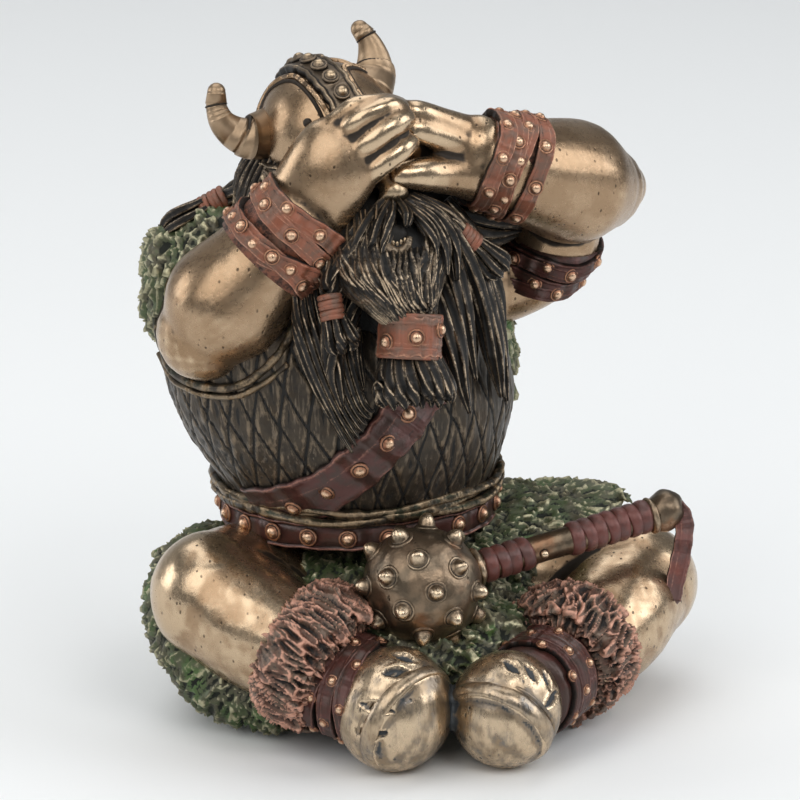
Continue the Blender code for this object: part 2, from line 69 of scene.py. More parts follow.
def pointing(outward, roll=None):
    # a turn that takes +Z to outward, and keeps +Y near roll if one is given
    outward = Vector(outward).normalized()
    if roll is None:
        return Vector((0, 0, 1)).rotation_difference(outward).to_matrix().to_4x4()
    side = Vector(roll).cross(outward).normalized()
    return Matrix((side, outward.cross(side), outward)).transposed().to_4x4()


# Shapes: each is a small closed bmesh, kept as a mesh in its piece's pile.

def newShape():
    bm = bmesh.new()
    bm.verts.layers.float.new("ridge")
    return bm


def meshOf(bm, name):
    mesh = bpy.data.meshes.new(name)
    bm.to_mesh(mesh)
    bm.free()
    return mesh


def keep(pile, bm):
    pile.append(meshOf(bm, "shape"))


def paintRidge(bm, value):
    ridge = bm.verts.layers.float["ridge"]
    for vert in bm.verts:
        vert[ridge] = value


def ball(pile, centre, radii, turn=Matrix.Identity(4), segments=24, ridge=0.5):
    bm = newShape()
    size = Matrix.Diagonal((*(Vector(radii) * unit), 1))
    bmesh.ops.create_uvsphere(bm, u_segments=segments, v_segments=segments // 2, radius=1,
                              matrix=Matrix.Translation(at(centre)) @ turn @ size)
    paintRidge(bm, ridge)
    keep(pile, bm)


def curveThrough(stations, steps):
    ends = [stations[0], *stations, stations[-1]]
    found = []
    for a, b, c, d in zip(ends, ends[1:], ends[2:], ends[3:]):
        for step in range(steps):
            s = step / steps
            found.append([0.5 * (2 * q + (r - p) * s + (2 * p - 5 * q + 4 * r - t) * s * s
                                 + (3 * q - p - 3 * r + t) * s ** 3) for p, q, r, t in zip(a, b, c, d)])
    found.append(list(stations[-1]))
    return found


def sweep(pile, rings, ridges):
    # rings: one list of places a station, all as long; the end face is pushed on through them
    bm = newShape()
    ridge = bm.verts.layers.float["ridge"]
    corner = bm.verts.layers.int.new("corner")
    face = bm.faces.new([bm.verts.new(place) for place in rings[0]])
    for i, vert in enumerate(face.verts):
        vert[corner] = i
        vert[ridge] = ridges[0][i]
    for ring, values in zip(rings[1:], ridges[1:]):
        grown = bmesh.ops.extrude_face_region(bm, geom=[face])["geom"]
        face = next(item for item in grown if isinstance(item, bmesh.types.BMFace))
        for vert in face.verts:
            vert.co = ring[vert[corner]]
            vert[ridge] = values[vert[corner]]
    bmesh.ops.recalc_face_normals(bm, faces=bm.faces)
    bm.verts.layers.int.remove(corner)
    keep(pile, bm)


def framesAlong(places, up):
    # each place with two directions square to the path there
    up = Vector(up)
    frames = []
    for i, place in enumerate(places):
        along = (places[min(i + 1, len(places) - 1)] - places[max(i - 1, 0)]).normalized()
        side = along.cross(up).normalized()
        frames.append((place, side, along.cross(side)))
    return frames


def acrossOf(axis, near=(0, 0, 1)):
    # two directions square to an axis, the first also square to near
    side = axis.cross(Vector(near)).normalized()
    return side, axis.cross(side)


def spoke(side, other, angle):
    return side * math.cos(angle) + other * math.sin(angle)


def tube(pile, stations, flat=1.0, up=(0, 0, 1), sides=16, steps=5, ridge=0.5,
         flutes=0, depth=0.0, twist=0.0):
    # a station is x, y, z, radius; flutes cut grooves along it, and the tops between them count as ridges
    path = curveThrough(stations, steps)
    frames = framesAlong([at(point[:3]) for point in path], up)
    rings, ridges = [], []
    for i, (point, (place, side, other)) in enumerate(zip(path, frames)):
        swing = twist * (i / (len(path) - 1)) * math.tau
        radius = max(point[3], figure["thinnest"]) * unit
        ring, values = [], []
        for k in range(sides):
            a = math.tau * k / sides
            groove = 0.5 + 0.5 * math.cos(flutes * a + swing) if flutes else 1.0
            r = radius * (1 - depth * (1 - groove))
            ring.append(place + side * math.cos(a) * r + other * math.sin(a) * r * flat)
            values.append(ridge - 0.5 + groove if flutes else ridge)
        rings.append(ring)
        ridges.append(values)
    sweep(pile, rings, ridges)


def limb(pile, stations, **shape):
    tube(pile, stations, **shape)
    for x, y, z, radius in (stations[0], stations[-1]):
        ball(pile, (x, y, z), (radius,) * 3, segments=20)


def spinRound(bm, parts, steps):
    bmesh.ops.spin(bm, geom=parts, axis=(0, 0, 1), cent=(0, 0, 0), angle=math.tau, steps=steps,
                   use_merge=True, use_duplicate=False)


def seal(bm):
    # the poles are closed, and the faces point outwards
    bmesh.ops.remove_doubles(bm, verts=bm.verts, dist=0.0001)
    bmesh.ops.recalc_face_normals(bm, faces=bm.faces)


def turned(profile, steps=12):
    # a profile of radius, height, ridge, from the axis to the axis, spun into a closed body
    bm = newShape()
    ridge = bm.verts.layers.float["ridge"]
    verts = []
    for radius, height, value in profile:
        vert = bm.verts.new((radius, 0, height))
        vert[ridge] = value
        verts.append(vert)
    edges = [bm.edges.new(pair) for pair in zip(verts, verts[1:])]
    spinRound(bm, verts + edges, steps)
    seal(bm)
    return meshOf(bm, "turned")


def setDown(pile, pattern, place, outward, size):
    # a copy of a pattern mesh, with its +Z pointing outward; place is in metres, size in units
    size = Matrix.Diagonal((*(Vector((size,) * 3) * unit), 1))
    made = pattern.copy()
    made.transform(Matrix.Translation(place) @ pointing(outward) @ size)
    pile.append(made)


def hoop(pile, centre, radii, roll, outward=(0, 0, 1), tall=1.0, around=48, ridge=0.5, section=12):
    # a closed ring round an ellipse; roll is its thickness radius, tall stretches it along its axis
    bm = newShape()
    start = bmesh.ops.create_circle(
        bm, segments=section, radius=1,
        matrix=Matrix.Translation((1, 0, 0)) @ turnOf((90, 0, 0))
        @ Matrix.Diagonal((roll / radii[0], roll * tall / radii[0], 1, 1)))["verts"]
    edges = list({edge for vert in start for edge in vert.link_edges})
    spinRound(bm, start + edges, around)
    size = Matrix.Diagonal((radii[0] * unit, radii[1] * unit, radii[0] * unit, 1))
    bmesh.ops.transform(bm, matrix=Matrix.Translation(at(centre)) @ pointing(outward) @ size, verts=bm.verts)
    paintRidge(bm, ridge)
    keep(pile, bm)


# Pieces: a pile of shapes becomes one object, loose or run together into one skin.

def linked(name, data):
    made = bpy.data.objects.new(name, data)
    bpy.context.scene.collection.objects.link(made)
    return made


def joined(pile, name):
    bm = newShape()
    for mesh in pile:
        bm.from_mesh(mesh)
        bpy.data.meshes.remove(mesh)
    bmesh.ops.recalc_face_normals(bm, faces=bm.faces)
    for face in bm.faces:
        face.smooth = True
    return linked(name, meshOf(bm, name))


def takeShape(piece):
    graph = bpy.context.evaluated_depsgraph_get()
    mesh = bpy.data.meshes.new_from_object(piece.evaluated_get(graph))
    piece.modifiers.clear()
    piece.data = mesh


def oneSkin(piece, voxel, soften=2):
    skin = piece.modifiers.new("skin", "REMESH")
    skin.mode = "VOXEL"
    skin.voxel_size = voxel * unit
    skin.use_smooth_shade = True
    takeShape(piece)
    dropHollows(piece)
    smooth = piece.modifiers.new("soften", "SMOOTH")
    smooth.factor = 0.5
    smooth.iterations = soften
    takeShape(piece)


def dropHollows(piece, crumb=60):
    # closed spaces inside the skin are shells turned inside out: they go, and so do crumbs of a few points
    bm = bmesh.new()
    bm.from_mesh(piece.data)
    waiting = set(bm.verts)
    gone = []
    while waiting:
        shell = [waiting.pop()]
        for vert in shell:
            for edge in vert.link_edges:
                other = edge.other_vert(vert)
                if other in waiting:
                    waiting.remove(other)
                    shell.append(other)
        faces = {face for vert in shell for face in vert.link_faces}
        volume = sum(face.calc_center_median().dot(face.normal) * face.calc_area() for face in faces)
        if volume < 0 or len(shell) < crumb:
            gone += shell
    bmesh.ops.delete(bm, geom=gone, context="VERTS")
    bm.to_mesh(piece.data)
    bm.free()


def placesOf(mesh):
    places = np.empty(len(mesh.vertices) * 3, np.float32)
    mesh.vertices.foreach_get("co", places)
    return places.reshape(-1, 3).astype(float)


def unitsOf(mesh):
    # the same places in the sculptor's units
    return placesOf(mesh) / unit + np.array(figure["footprint"])


def normalsOf(mesh):
    normals = np.empty(len(mesh.vertices) * 3, np.float32)
    mesh.vertex_normals.foreach_get("vector", normals)
    return normals.reshape(-1, 3).astype(float)


def putPlaces(mesh, places):
    mesh.vertices.foreach_set("co", places.astype(np.float32).ravel())
    mesh.update()


def putValues(mesh, name, values):
    layer = mesh.attributes.get(name) or mesh.attributes.new(name, "FLOAT", "POINT")
    layer.data.foreach_set("value", np.asarray(values, np.float32))


def evened(mesh, values, rounds):
    # every point takes the mean of its neighbours, as many times as there are rounds
    ends = np.empty(len(mesh.edges) * 2, np.int32)
    mesh.edges.foreach_get("vertices", ends)
    a, b = ends.reshape(-1, 2).T
    count = len(mesh.vertices)
    share = np.maximum(np.bincount(a, minlength=count) + np.bincount(b, minlength=count), 1)
    for _ in range(rounds):
        values = np.stack([(np.bincount(a, column[b], count) + np.bincount(b, column[a], count)) / share
                           for column in values.T], axis=1)
    return values


def markRelief(piece, rounds=5, gain=9.0):
    # ridge, from 0 to 1: how far a point stands over its neighbours; 0.5 is flat
    mesh = piece.data
    places = placesOf(mesh) / unit
    over = ((places - evened(mesh, places, rounds)) * normalsOf(mesh)).sum(axis=1)
    putValues(mesh, "ridge", np.clip(0.5 + over * gain, 0, 1))


mixers = np.array([73856093, 19349663, 83492791])  # large primes that scatter a cell's number


def grain(places, size, seed=0):
    # smooth value noise from -1 to 1 over places in units, one blob being about size across
    grid = places / size + seed * 17.3
    low = np.floor(grid).astype(np.int64)
    part = grid - low
    part = part * part * (3 - 2 * part)
    total = 0
    for corner in range(8):
        step = np.array([corner & 1, corner >> 1 & 1, corner >> 2 & 1])
        mixed = np.bitwise_xor.reduce((low + step) * mixers, axis=1) ^ (seed * 2654435761)
        value = ((mixed ^ (mixed >> 13)) * 1274126177 & 0xFFFFFF) / 0xFFFFFF * 2 - 1
        total = total + value * np.where(step, part, 1 - part).prod(axis=1)
    return total


def carve(piece, how):
    # how takes places in units, and gives how far each point moves outwards
    mesh = piece.data
    putPlaces(mesh, placesOf(mesh) + normalsOf(mesh) * how(unitsOf(mesh))[:, None] * unit)


def roughened(*layers):
    # each layer is a blob size, a height and a seed
    return lambda units: sum(grain(units, size, seed) * high for size, high, seed in layers)


def surface(piece):
    verts = [vert.co.copy() for vert in piece.data.vertices]
    return BVHTree.FromPolygons(verts, [list(polygon.vertices) for polygon in piece.data.polygons])


def onto(tree, place, outward):
    # the surface's place and normal, looking from outside towards place along outward
    outward = Vector(outward).normalized()
    hit, normal, _, _ = tree.ray_cast(Vector(place) + outward * 30 * unit, -outward)
    if hit is None:
        hit, normal, _, _ = tree.find_nearest(place)
    return hit, normal


def settle(piece, material):
    piece.data.materials.clear()
    piece.data.materials.append(material)
    piece.data.shade_smooth()
    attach(piece, "root")
    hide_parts(figure["node"])
    print(piece.name, len(piece.data.polygons), "faces")


# Straps: a flat section swept along a line that lies on a surface.

strapSection = {
    # across from edge to edge, and how high in shares of the strap's thickness
    "edged": [(-1, -0.8), (-1, 0.7), (-0.93, 1.1), (-0.82, 1.15), (-0.74, 0.7), (-0.66, 0.7), (-0.6, 0.95),
              (-0.2, 0.95), (0.2, 0.95), (0.6, 0.95), (0.66, 0.7), (0.74, 0.7), (0.82, 1.15), (0.93, 1.1),
              (1, 0.7), (1, -0.8)],
    "creased": [(-1, -0.8), (-1, 0.7), (-0.92, 1.1), (-0.7, 1.0), (-0.55, 0.8), (-0.3, 1.05), (0.1, 0.95),
                (0.35, 1.1), (0.5, 0.85), (0.75, 1.0), (0.93, 1.15), (1, 0.7), (1, -0.8)],
    "reach": 6,  # how far a strap is let down or lifted to lie on a surface
}


def strap(pile, line, width, thick, section="creased", tree=None, steps=2):
    # line: places in units, each with its outward direction: x, y, z, ox, oy, oz
    path = curveThrough(line, steps)
    places = [at(point[:3]) for point in path]
    reach = strapSection["reach"] * unit
    rings, ridges = [], []
    for i, (place, point) in enumerate(zip(places, path)):
        outward = Vector(point[3:6]).normalized()
        along = (places[min(i + 1, len(path) - 1)] - places[max(i - 1, 0)]).normalized()
        side = along.cross(outward).normalized()
        outward = side.cross(along).normalized()
        wave = 1 + 0.05 * math.sin(i * 1.7) + 0.04 * math.sin(i * 0.61 + 2)  # an edge cut by hand
        ring, values = [], []
        for across, high in strapSection[section]:
            spot = place + side * across * width / 2 * wave * unit
            if tree:
                hit, _, _, _ = tree.ray_cast(spot + outward * reach, -outward, 2 * reach)
                spot = hit or spot
            ring.append(spot + outward * high * thick * unit)
            onTop = abs(across) <= 0.99 and high >= 0.9
            values.append(0.42 + (high - 0.95) * 2.4 if onTop else min(max((high - 0.55) * 1.3, 0), 1))
        rings.append(ring)
        ridges.append(values)
    sweep(pile, rings, ridges)
    return [(place, Vector(point[3:6]).normalized()) for place, point in zip(places, path)]


def roundLine(centre, radii, normal, degrees, steps, roll=(0, 0, 1), wobble=0.0):
    # a line round an ellipse in the plane across normal, for strap()
    turn = pointing(normal, roll).to_3x3()
    line = []
    for step in range(steps + 1):
        a = math.radians(degrees[0] + (degrees[1] - degrees[0]) * step / steps)
        out = turn @ Vector((math.cos(a), math.sin(a), 0))
        spot = Vector(centre) + turn @ Vector((radii[0] * math.cos(a), radii[1] * math.sin(a),
                                               wobble * math.sin(a * 3 + 1)))
        line.append((*spot, *out))
    return line


# Studs: a dome in a small ring, or plain.

studPattern = turned([(0, -0.5, 0), (1.35, -0.45, 0), (1.42, 0.1, 0.3), (1.25, 0.3, 0.75), (1.02, 0.12, 0.05),
                      (0.86, 0.5, 0.6), (0.5, 0.84, 1.0), (0, 0.95, 1.0)])
plainStud = turned([(0, -0.5, 0), (1.1, -0.4, 0), (1.08, 0.1, 0.1), (0.9, 0.5, 0.7), (0.5, 0.84, 1.0),
                    (0, 0.95, 1.0)])
studs = []


def studAt(place, outward, size, pile=studs):
    setDown(pile, studPattern, place, outward, size)


# Materials. Every finish is a wash that stays dark in the low places and is rubbed off the high ones.

def shaderFor(name):
    material = bpy.data.materials.new(name)
    material.use_nodes = True
    tree = material.node_tree
    return material, tree, tree.nodes["Principled BSDF"]


def feed(tree, socket, value):
    if isinstance(value, bpy.types.NodeSocket):
        tree.links.new(value, socket)
    else:
        socket.default_value = value


def objectPlaces(tree, stretch):
    coordinates = tree.nodes.new("ShaderNodeTexCoord").outputs["Object"]
    if not stretch:
        return coordinates
    mapping = tree.nodes.new("ShaderNodeMapping")
    mapping.inputs["Scale"].default_value = stretch
    tree.links.new(coordinates, mapping.inputs["Vector"])
    return mapping.outputs[0]


def noiseOf(tree, size, detail=3, rough=0.55, stretch=None):
    node = tree.nodes.new("ShaderNodeTexNoise")
    tree.links.new(objectPlaces(tree, stretch), node.inputs["Vector"])
    node.inputs["Scale"].default_value = 1 / (size * unit)
    node.inputs["Detail"].default_value = detail
    node.inputs["Roughness"].default_value = rough
    return node.outputs[0]


def cellsOf(tree, size, stretch):
    node = tree.nodes.new("ShaderNodeTexVoronoi")
    tree.links.new(objectPlaces(tree, stretch), node.inputs["Vector"])
    node.inputs["Scale"].default_value = 1 / (size * unit)
    return node.outputs["Distance"]


def attributeOf(tree, name):
    node = tree.nodes.new("ShaderNodeAttribute")
    node.attribute_name = name
    return node.outputs["Fac"]


def spanOf(tree, value, low, high, toLow=0.0, toHigh=1.0):
    node = tree.nodes.new("ShaderNodeMapRange")
    node.interpolation_type = "SMOOTHSTEP"
    spans = {"Value": value, "From Min": low, "From Max": high, "To Min": toLow, "To Max": toHigh}
    for name, number in spans.items():
        feed(tree, node.inputs[name], number)
    return node.outputs[0]


def mathOf(tree, how, *terms):
    node = tree.nodes.new("ShaderNodeMath")
    node.operation = how
    for socket, term in zip(node.inputs, terms):
        feed(tree, socket, term)
    return node.outputs[0]


def sumOf(tree, *terms, how="ADD"):
    total = terms[0]
    for term in terms[1:]:
        total = mathOf(tree, how, total, term)
    return total


def productOf(tree, *terms):
    return sumOf(tree, *terms, how="MULTIPLY")


def mixOf(tree, share, first, second):
    node = tree.nodes.new("ShaderNodeMix")
    node.data_type = "RGBA"
    feed(tree, node.inputs[0], share)
    for socket, colour in ((node.inputs[6], first), (node.inputs[7], second)):
        feed(tree, socket, colour if isinstance(colour, bpy.types.NodeSocket) else (*colour, 1))
    return node.outputs[2]


def shareOf(tree, three, high, low):
    # three: what the deep, the body and the worn places have
    deep, body, worn = three
    return sumOf(tree, body, productOf(tree, high, worn - body), productOf(tree, low, deep - body))


def clamped(tree, value, least=0.0):
    node = tree.nodes.new("ShaderNodeClamp")
    node.inputs["Min"].default_value = least
    tree.links.new(value, node.inputs[0])
    return node.outputs[0]


usualFinish = {
    "stretch": None,  # draws the fine noise out along an axis
    "stainSize": 7.0, "stainMost": 0.7,
    "pitStretch": (1, 1, 0.6), "pitPatch": 3.1, "pitMost": 0.8, "pitDeep": -1.4,
    "leastRough": 0.08, "roughFine": 0.22, "roughPatchy": 0.12, "bumpHeight": 0.12,
}


def rubbed(name, look):
    # sizes are in units; metal and rough are given for the deep, the body and the worn places
    look = usualFinish | look
    material, tree, shader = shaderFor(name)
    ridge = attributeOf(tree, "ridge")
    patchy = noiseOf(tree, look["patch"], detail=4)
    fine = noiseOf(tree, look["fine"], stretch=look["stretch"])
    patchyShift, fineShift = sumOf(tree, patchy, -0.5), sumOf(tree, fine, -0.5)
    jitter = sumOf(tree, productOf(tree, patchyShift, look["patchy"]),
                   productOf(tree, fineShift, look["finely"]))
    height = sumOf(tree, ridge, jitter)
    low = spanOf(tree, height, *look["deepUnder"], 1.0, 0.0)
    high = spanOf(tree, height, *look["wornOver"])
    blend = spanOf(tree, noiseOf(tree, look["mottle"], detail=5, rough=0.6), 0.4, 0.62)
    colour = mixOf(tree, blend, look["body"], look["second"])
    if "stain" in look:
        stain = spanOf(tree, noiseOf(tree, look["stainSize"], detail=4), 0.56, 0.7, 0.0, look["stainMost"])
        colour = mixOf(tree, stain, colour, look["stain"])
    colour = mixOf(tree, high, colour, look["worn"])
    colour = mixOf(tree, low, colour, look["deep"])
    relief = sumOf(tree, fine, productOf(tree, patchy, 0.8))
    if "specks" in look:
        size, share = look["specks"]
        pits = spanOf(tree, cellsOf(tree, size, look["pitStretch"]), 0.08, 0.2, 1.0, 0.0)
        patches = spanOf(tree, noiseOf(tree, look["pitPatch"], detail=2), share, share + 0.12)
        pits = productOf(tree, pits, patches)
        colour = mixOf(tree, productOf(tree, pits, look["pitMost"]), colour, look["deep"])
        relief = sumOf(tree, relief, productOf(tree, pits, look["pitDeep"]))
    shader.inputs["Base Color"].default_value = (*look["body"], 1)
    tree.links.new(colour, shader.inputs["Base Color"])
    tree.links.new(clamped(tree, shareOf(tree, look["metal"], high, low)), shader.inputs["Metallic"])
    rough = sumOf(tree, shareOf(tree, look["rough"], high, low), productOf(tree, fineShift, look["roughFine"]),
                  productOf(tree, patchyShift, look["roughPatchy"]))
    tree.links.new(clamped(tree, rough, look["leastRough"]), shader.inputs["Roughness"])
    bump = tree.nodes.new("ShaderNodeBump")
    bump.inputs["Strength"].default_value = look["bump"]
    bump.inputs["Distance"].default_value = look["bumpHeight"] * unit
    tree.links.new(relief, bump.inputs["Height"])
    tree.links.new(bump.outputs[0], shader.inputs["Normal"])
    return material


def skinBronze():
    return rubbed("skinBronze", {
        "deep": (0.026, 0.018, 0.012), "body": (0.34, 0.228, 0.138), "second": (0.41, 0.285, 0.18),
        "worn": (0.56, 0.42, 0.28), "stain": (0.28, 0.182, 0.105), "deepUnder": (0.16, 0.40),
        "wornOver": (0.62, 0.9), "patchy": 0.16, "finely": 0.12, "metal": (0.45, 0.93, 0.97),
        "rough": (0.55, 0.29, 0.24), "mottle": 5.5, "patch": 3.4, "fine": 0.6, "specks": (1.3, 0.42),
        "bump": 0.3, "bumpHeight": 0.09})


def hornBronze():
    return rubbed("hornBronze", {
        "deep": (0.026, 0.018, 0.012), "body": (0.32, 0.225, 0.142), "second": (0.38, 0.272, 0.178),
        "worn": (0.56, 0.42, 0.28), "deepUnder": (0.16, 0.40), "wornOver": (0.62, 0.9), "patchy": 0.3,
        "finely": 0.16, "metal": (0.45, 0.93, 0.97), "rough": (0.6, 0.40, 0.36), "mottle": 3.0,
        "patch": 4.0, "fine": 0.8, "bump": 0.15, "bumpHeight": 0.05})


def darkHair():
    return rubbed("darkHair", {
        "deep": (0.004, 0.0035, 0.003), "body": (0.026, 0.020, 0.015), "second": (0.046, 0.037, 0.029),
        "worn": (0.45, 0.35, 0.245), "deepUnder": (0.28, 0.52), "wornOver": (0.70, 1.04), "patchy": 0.8,
        "finely": 0.6, "metal": (0.1, 0.6, 0.92), "rough": (0.7, 0.4, 0.32), "mottle": 3.0, "patch": 2.0,
        "fine": 0.35, "bump": 0.5})


def redLeather():
    return rubbed("redLeather", {
        "deep": (0.012, 0.006, 0.004), "body": (0.27, 0.098, 0.056), "second": (0.17, 0.094, 0.065),
        "worn": (0.55, 0.27, 0.17), "stain": (0.26, 0.075, 0.035), "deepUnder": (0.16, 0.42),
        "wornOver": (0.66, 1.0), "patchy": 0.5, "finely": 0.4, "metal": (0.0, 0.18, 0.35),
        "rough": (0.7, 0.46, 0.36), "mottle": 2.6, "patch": 1.8, "fine": 0.4, "bump": 0.5})


def maroonLeather():
    return rubbed("maroonLeather", {
        "deep": (0.007, 0.004, 0.003), "body": (0.085, 0.030, 0.024), "second": (0.060, 0.034, 0.027),
        "worn": (0.34, 0.16, 0.12), "deepUnder": (0.1, 0.36), "wornOver": (0.66, 1.0), "patchy": 0.45,
        "finely": 0.4, "metal": (0.05, 0.3, 0.5), "rough": (0.6, 0.36, 0.32), "mottle": 3.0, "patch": 1.8,
        "fine": 0.4, "bump": 0.45})


def copperStuds():
    return rubbed("copperStuds", {
        "deep": (0.02, 0.008, 0.005), "body": (0.36, 0.18, 0.105), "second": (0.28, 0.125, 0.075),
        "worn": (0.68, 0.46, 0.31), "deepUnder": (0.12, 0.45), "wornOver": (0.6, 1.0), "patchy": 0.45,
        "finely": 0.35, "metal": (0.2, 0.85, 0.95), "rough": (0.6, 0.36, 0.28), "mottle": 2.0, "patch": 1.2,
        "fine": 0.3, "bump": 0.4})


def greenFur():
    return rubbed("greenFur", {
        "deep": (0.007, 0.010, 0.005), "body": (0.062, 0.086, 0.034), "second": (0.092, 0.084, 0.052),
        "worn": (0.46, 0.43, 0.28), "stain": (0.07, 0.16, 0.035), "deepUnder": (0.14, 0.38),
        "wornOver": (0.6, 0.98), "patchy": 0.8, "finely": 0.5, "metal": (0.05, 0.25, 0.75),
        "rough": (0.75, 0.45, 0.38), "mottle": 4.5, "patch": 3.0, "fine": 0.4, "bump": 0.5})


def redFur():
    return rubbed("redFur", {
        "deep": (0.008, 0.005, 0.004), "body": (0.125, 0.062, 0.042), "second": (0.155, 0.108, 0.078),
        "worn": (0.62, 0.33, 0.235), "deepUnder": (0.15, 0.40), "wornOver": (0.52, 0.94), "patchy": 0.5,
        "finely": 0.4, "metal": (0.1, 0.35, 0.35), "rough": (0.65, 0.4, 0.42), "mottle": 3.0, "patch": 2.4,
        "fine": 0.4, "bump": 0.45})


def shoeBronze():
    return rubbed("shoeBronze", {
        "deep": (0.05, 0.055, 0.06), "body": (0.31, 0.232, 0.155), "second": (0.235, 0.194, 0.153),
        "worn": (0.62, 0.48, 0.33), "stain": (0.16, 0.165, 0.17), "stainSize": 4.0,
        "deepUnder": (0.26, 0.44), "wornOver": (0.6, 0.85), "patchy": 0.25, "finely": 0.25,
        "metal": (0.5, 0.92, 0.96), "rough": (0.5, 0.31, 0.27), "mottle": 3.5, "patch": 2.5, "fine": 0.5,
        "stretch": (1, 1, 0.35), "specks": (1.6, 0.45), "bump": 0.4})


def darkBronze():
    return rubbed("darkBronze", {
        "deep": (0.010, 0.008, 0.006), "body": (0.20, 0.148, 0.100), "second": (0.145, 0.112, 0.082),
        "worn": (0.50, 0.38, 0.25), "deepUnder": (0.15, 0.4), "wornOver": (0.66, 1.0), "patchy": 0.4,
        "finely": 0.3, "metal": (0.4, 0.85, 0.95), "rough": (0.6, 0.37, 0.3), "mottle": 4.0, "patch": 2.0,
        "fine": 0.4, "bump": 0.45})


# The body: a barrel under a knitted tunic, carved with a lattice of diamonds.

barrel = {
    # level, half width, half depth, centre x, centre y
    "sections": [(29, 20.4, 18.6, 3.0, 2.0), (33, 21.4, 19.6, 2.6, 2.0), (37, 22.8, 21.2, 2.2, 2.0),
                 (44, 25.9, 23.8, 1.0, 1.8), (51, 27.9, 24.8, -0.2, 1.5), (58, 27.9, 24.2, -1.7, 1.4),
                 (64, 27.9, 22.4, -2.6, 1.2), (70, 25.5, 18.8, -2.2, 1.8), (75, 20.0, 13.0, -1.0, 3.0),
                 (79, 12.0, 8.0, 0.0, 3.0)],
    "rows": 124, "around": 360,
    "crowd": 0.3,  # draws more points to the front
    "diamonds": 36, "diamondTall": 13.0,
    "linesPerUnit": 0.229,  # how many lines of the lattice cross a unit at the barrel's widest
    "lineDeep": 0.5, "lineWide": 0.22, "lipHigh": 0.05, "lipAway": 0.55, "lipWide": 0.2,
}


def barrelAt(level):
    # half width, half depth and centre of the barrel at a level
    levels = [row[0] for row in barrel["sections"]]
    path = np.array(curveThrough(barrel["sections"], 8))
    return [np.interp(level, path[:, 0], path[:, i]) for i in range(1, 5)]


def lattice(units):
    wide, deep, x, y = barrelAt(units[:, 2])
    around = np.arctan2((units[:, 0] - x) / wide, -(units[:, 1] - y) / deep) / math.tau
    wander = grain(units, 9, 3) * 0.15 + grain(units, 3.2, 4) * 0.05
    lean = units[:, 2] / barrel["diamondTall"]
    return around * barrel["diamonds"] + lean + wander, around * barrel["diamonds"] - lean + wander


def latticeDistance(lines):
    return np.abs(lines - np.round(lines)) / barrel["linesPerUnit"]


def knit(units):
    first, second = (latticeDistance(lines) for lines in lattice(units))
    near = np.minimum(first, second)
    cut = -barrel["lineDeep"] * np.exp(-(near / barrel["lineWide"]) ** 2)
    cut = cut + barrel["lipHigh"] * np.exp(-((near - barrel["lipAway"]) / barrel["lipWide"]) ** 2)
    cut = cut * (0.7 + 0.5 * grain(units, 5, 8))
    fibre = grain(units * np.array([1, 1, 0.16]), 0.7, 5) * 0.13
    fibre = fibre + grain(units * np.array([1, 1, 0.22]), 1.8, 6) * 0.2
    return cut + fibre + grain(units, 8, 7) * 0.25


def tunic():
    # a cylinder of radius 1 is spun first, and every point is then moved out to the barrel
    bm = newShape()
    low, high = barrel["sections"][0][0], barrel["sections"][-1][0]
    verts = [bm.verts.new((0, 0, low))]
    for row in range(barrel["rows"]):
        verts.append(bm.verts.new((1, 0, low + (high - low) * row / (barrel["rows"] - 1))))
    verts.append(bm.verts.new((0, 0, high)))
    edges = [bm.edges.new(pair) for pair in zip(verts, verts[1:])]
    spinRound(bm, verts + edges, barrel["around"])
    seal(bm)
    piece = joined([meshOf(bm, "shape")], "tunic")
    mesh = piece.data
    spun = placesOf(mesh)
    angle = np.arctan2(spun[:, 0], -spun[:, 1])
    angle = angle - barrel["crowd"] * np.sin(angle)
    reach = np.hypot(spun[:, 0], spun[:, 1])
    wide, deep, x, y = barrelAt(spun[:, 2])
    units = np.stack([x + wide * reach * np.sin(angle), y - deep * reach * np.cos(angle), spun[:, 2]], axis=1)
    putPlaces(mesh, (units - np.array(figure["footprint"])) * unit)
    carve(piece, knit)
    markRelief(piece, rounds=4, gain=7.0)
    for name, lines in zip(("latticeA", "latticeB"), lattice(unitsOf(mesh))):
        putValues(mesh, name, lines)
    settle(piece, tunicBronze())
    return piece


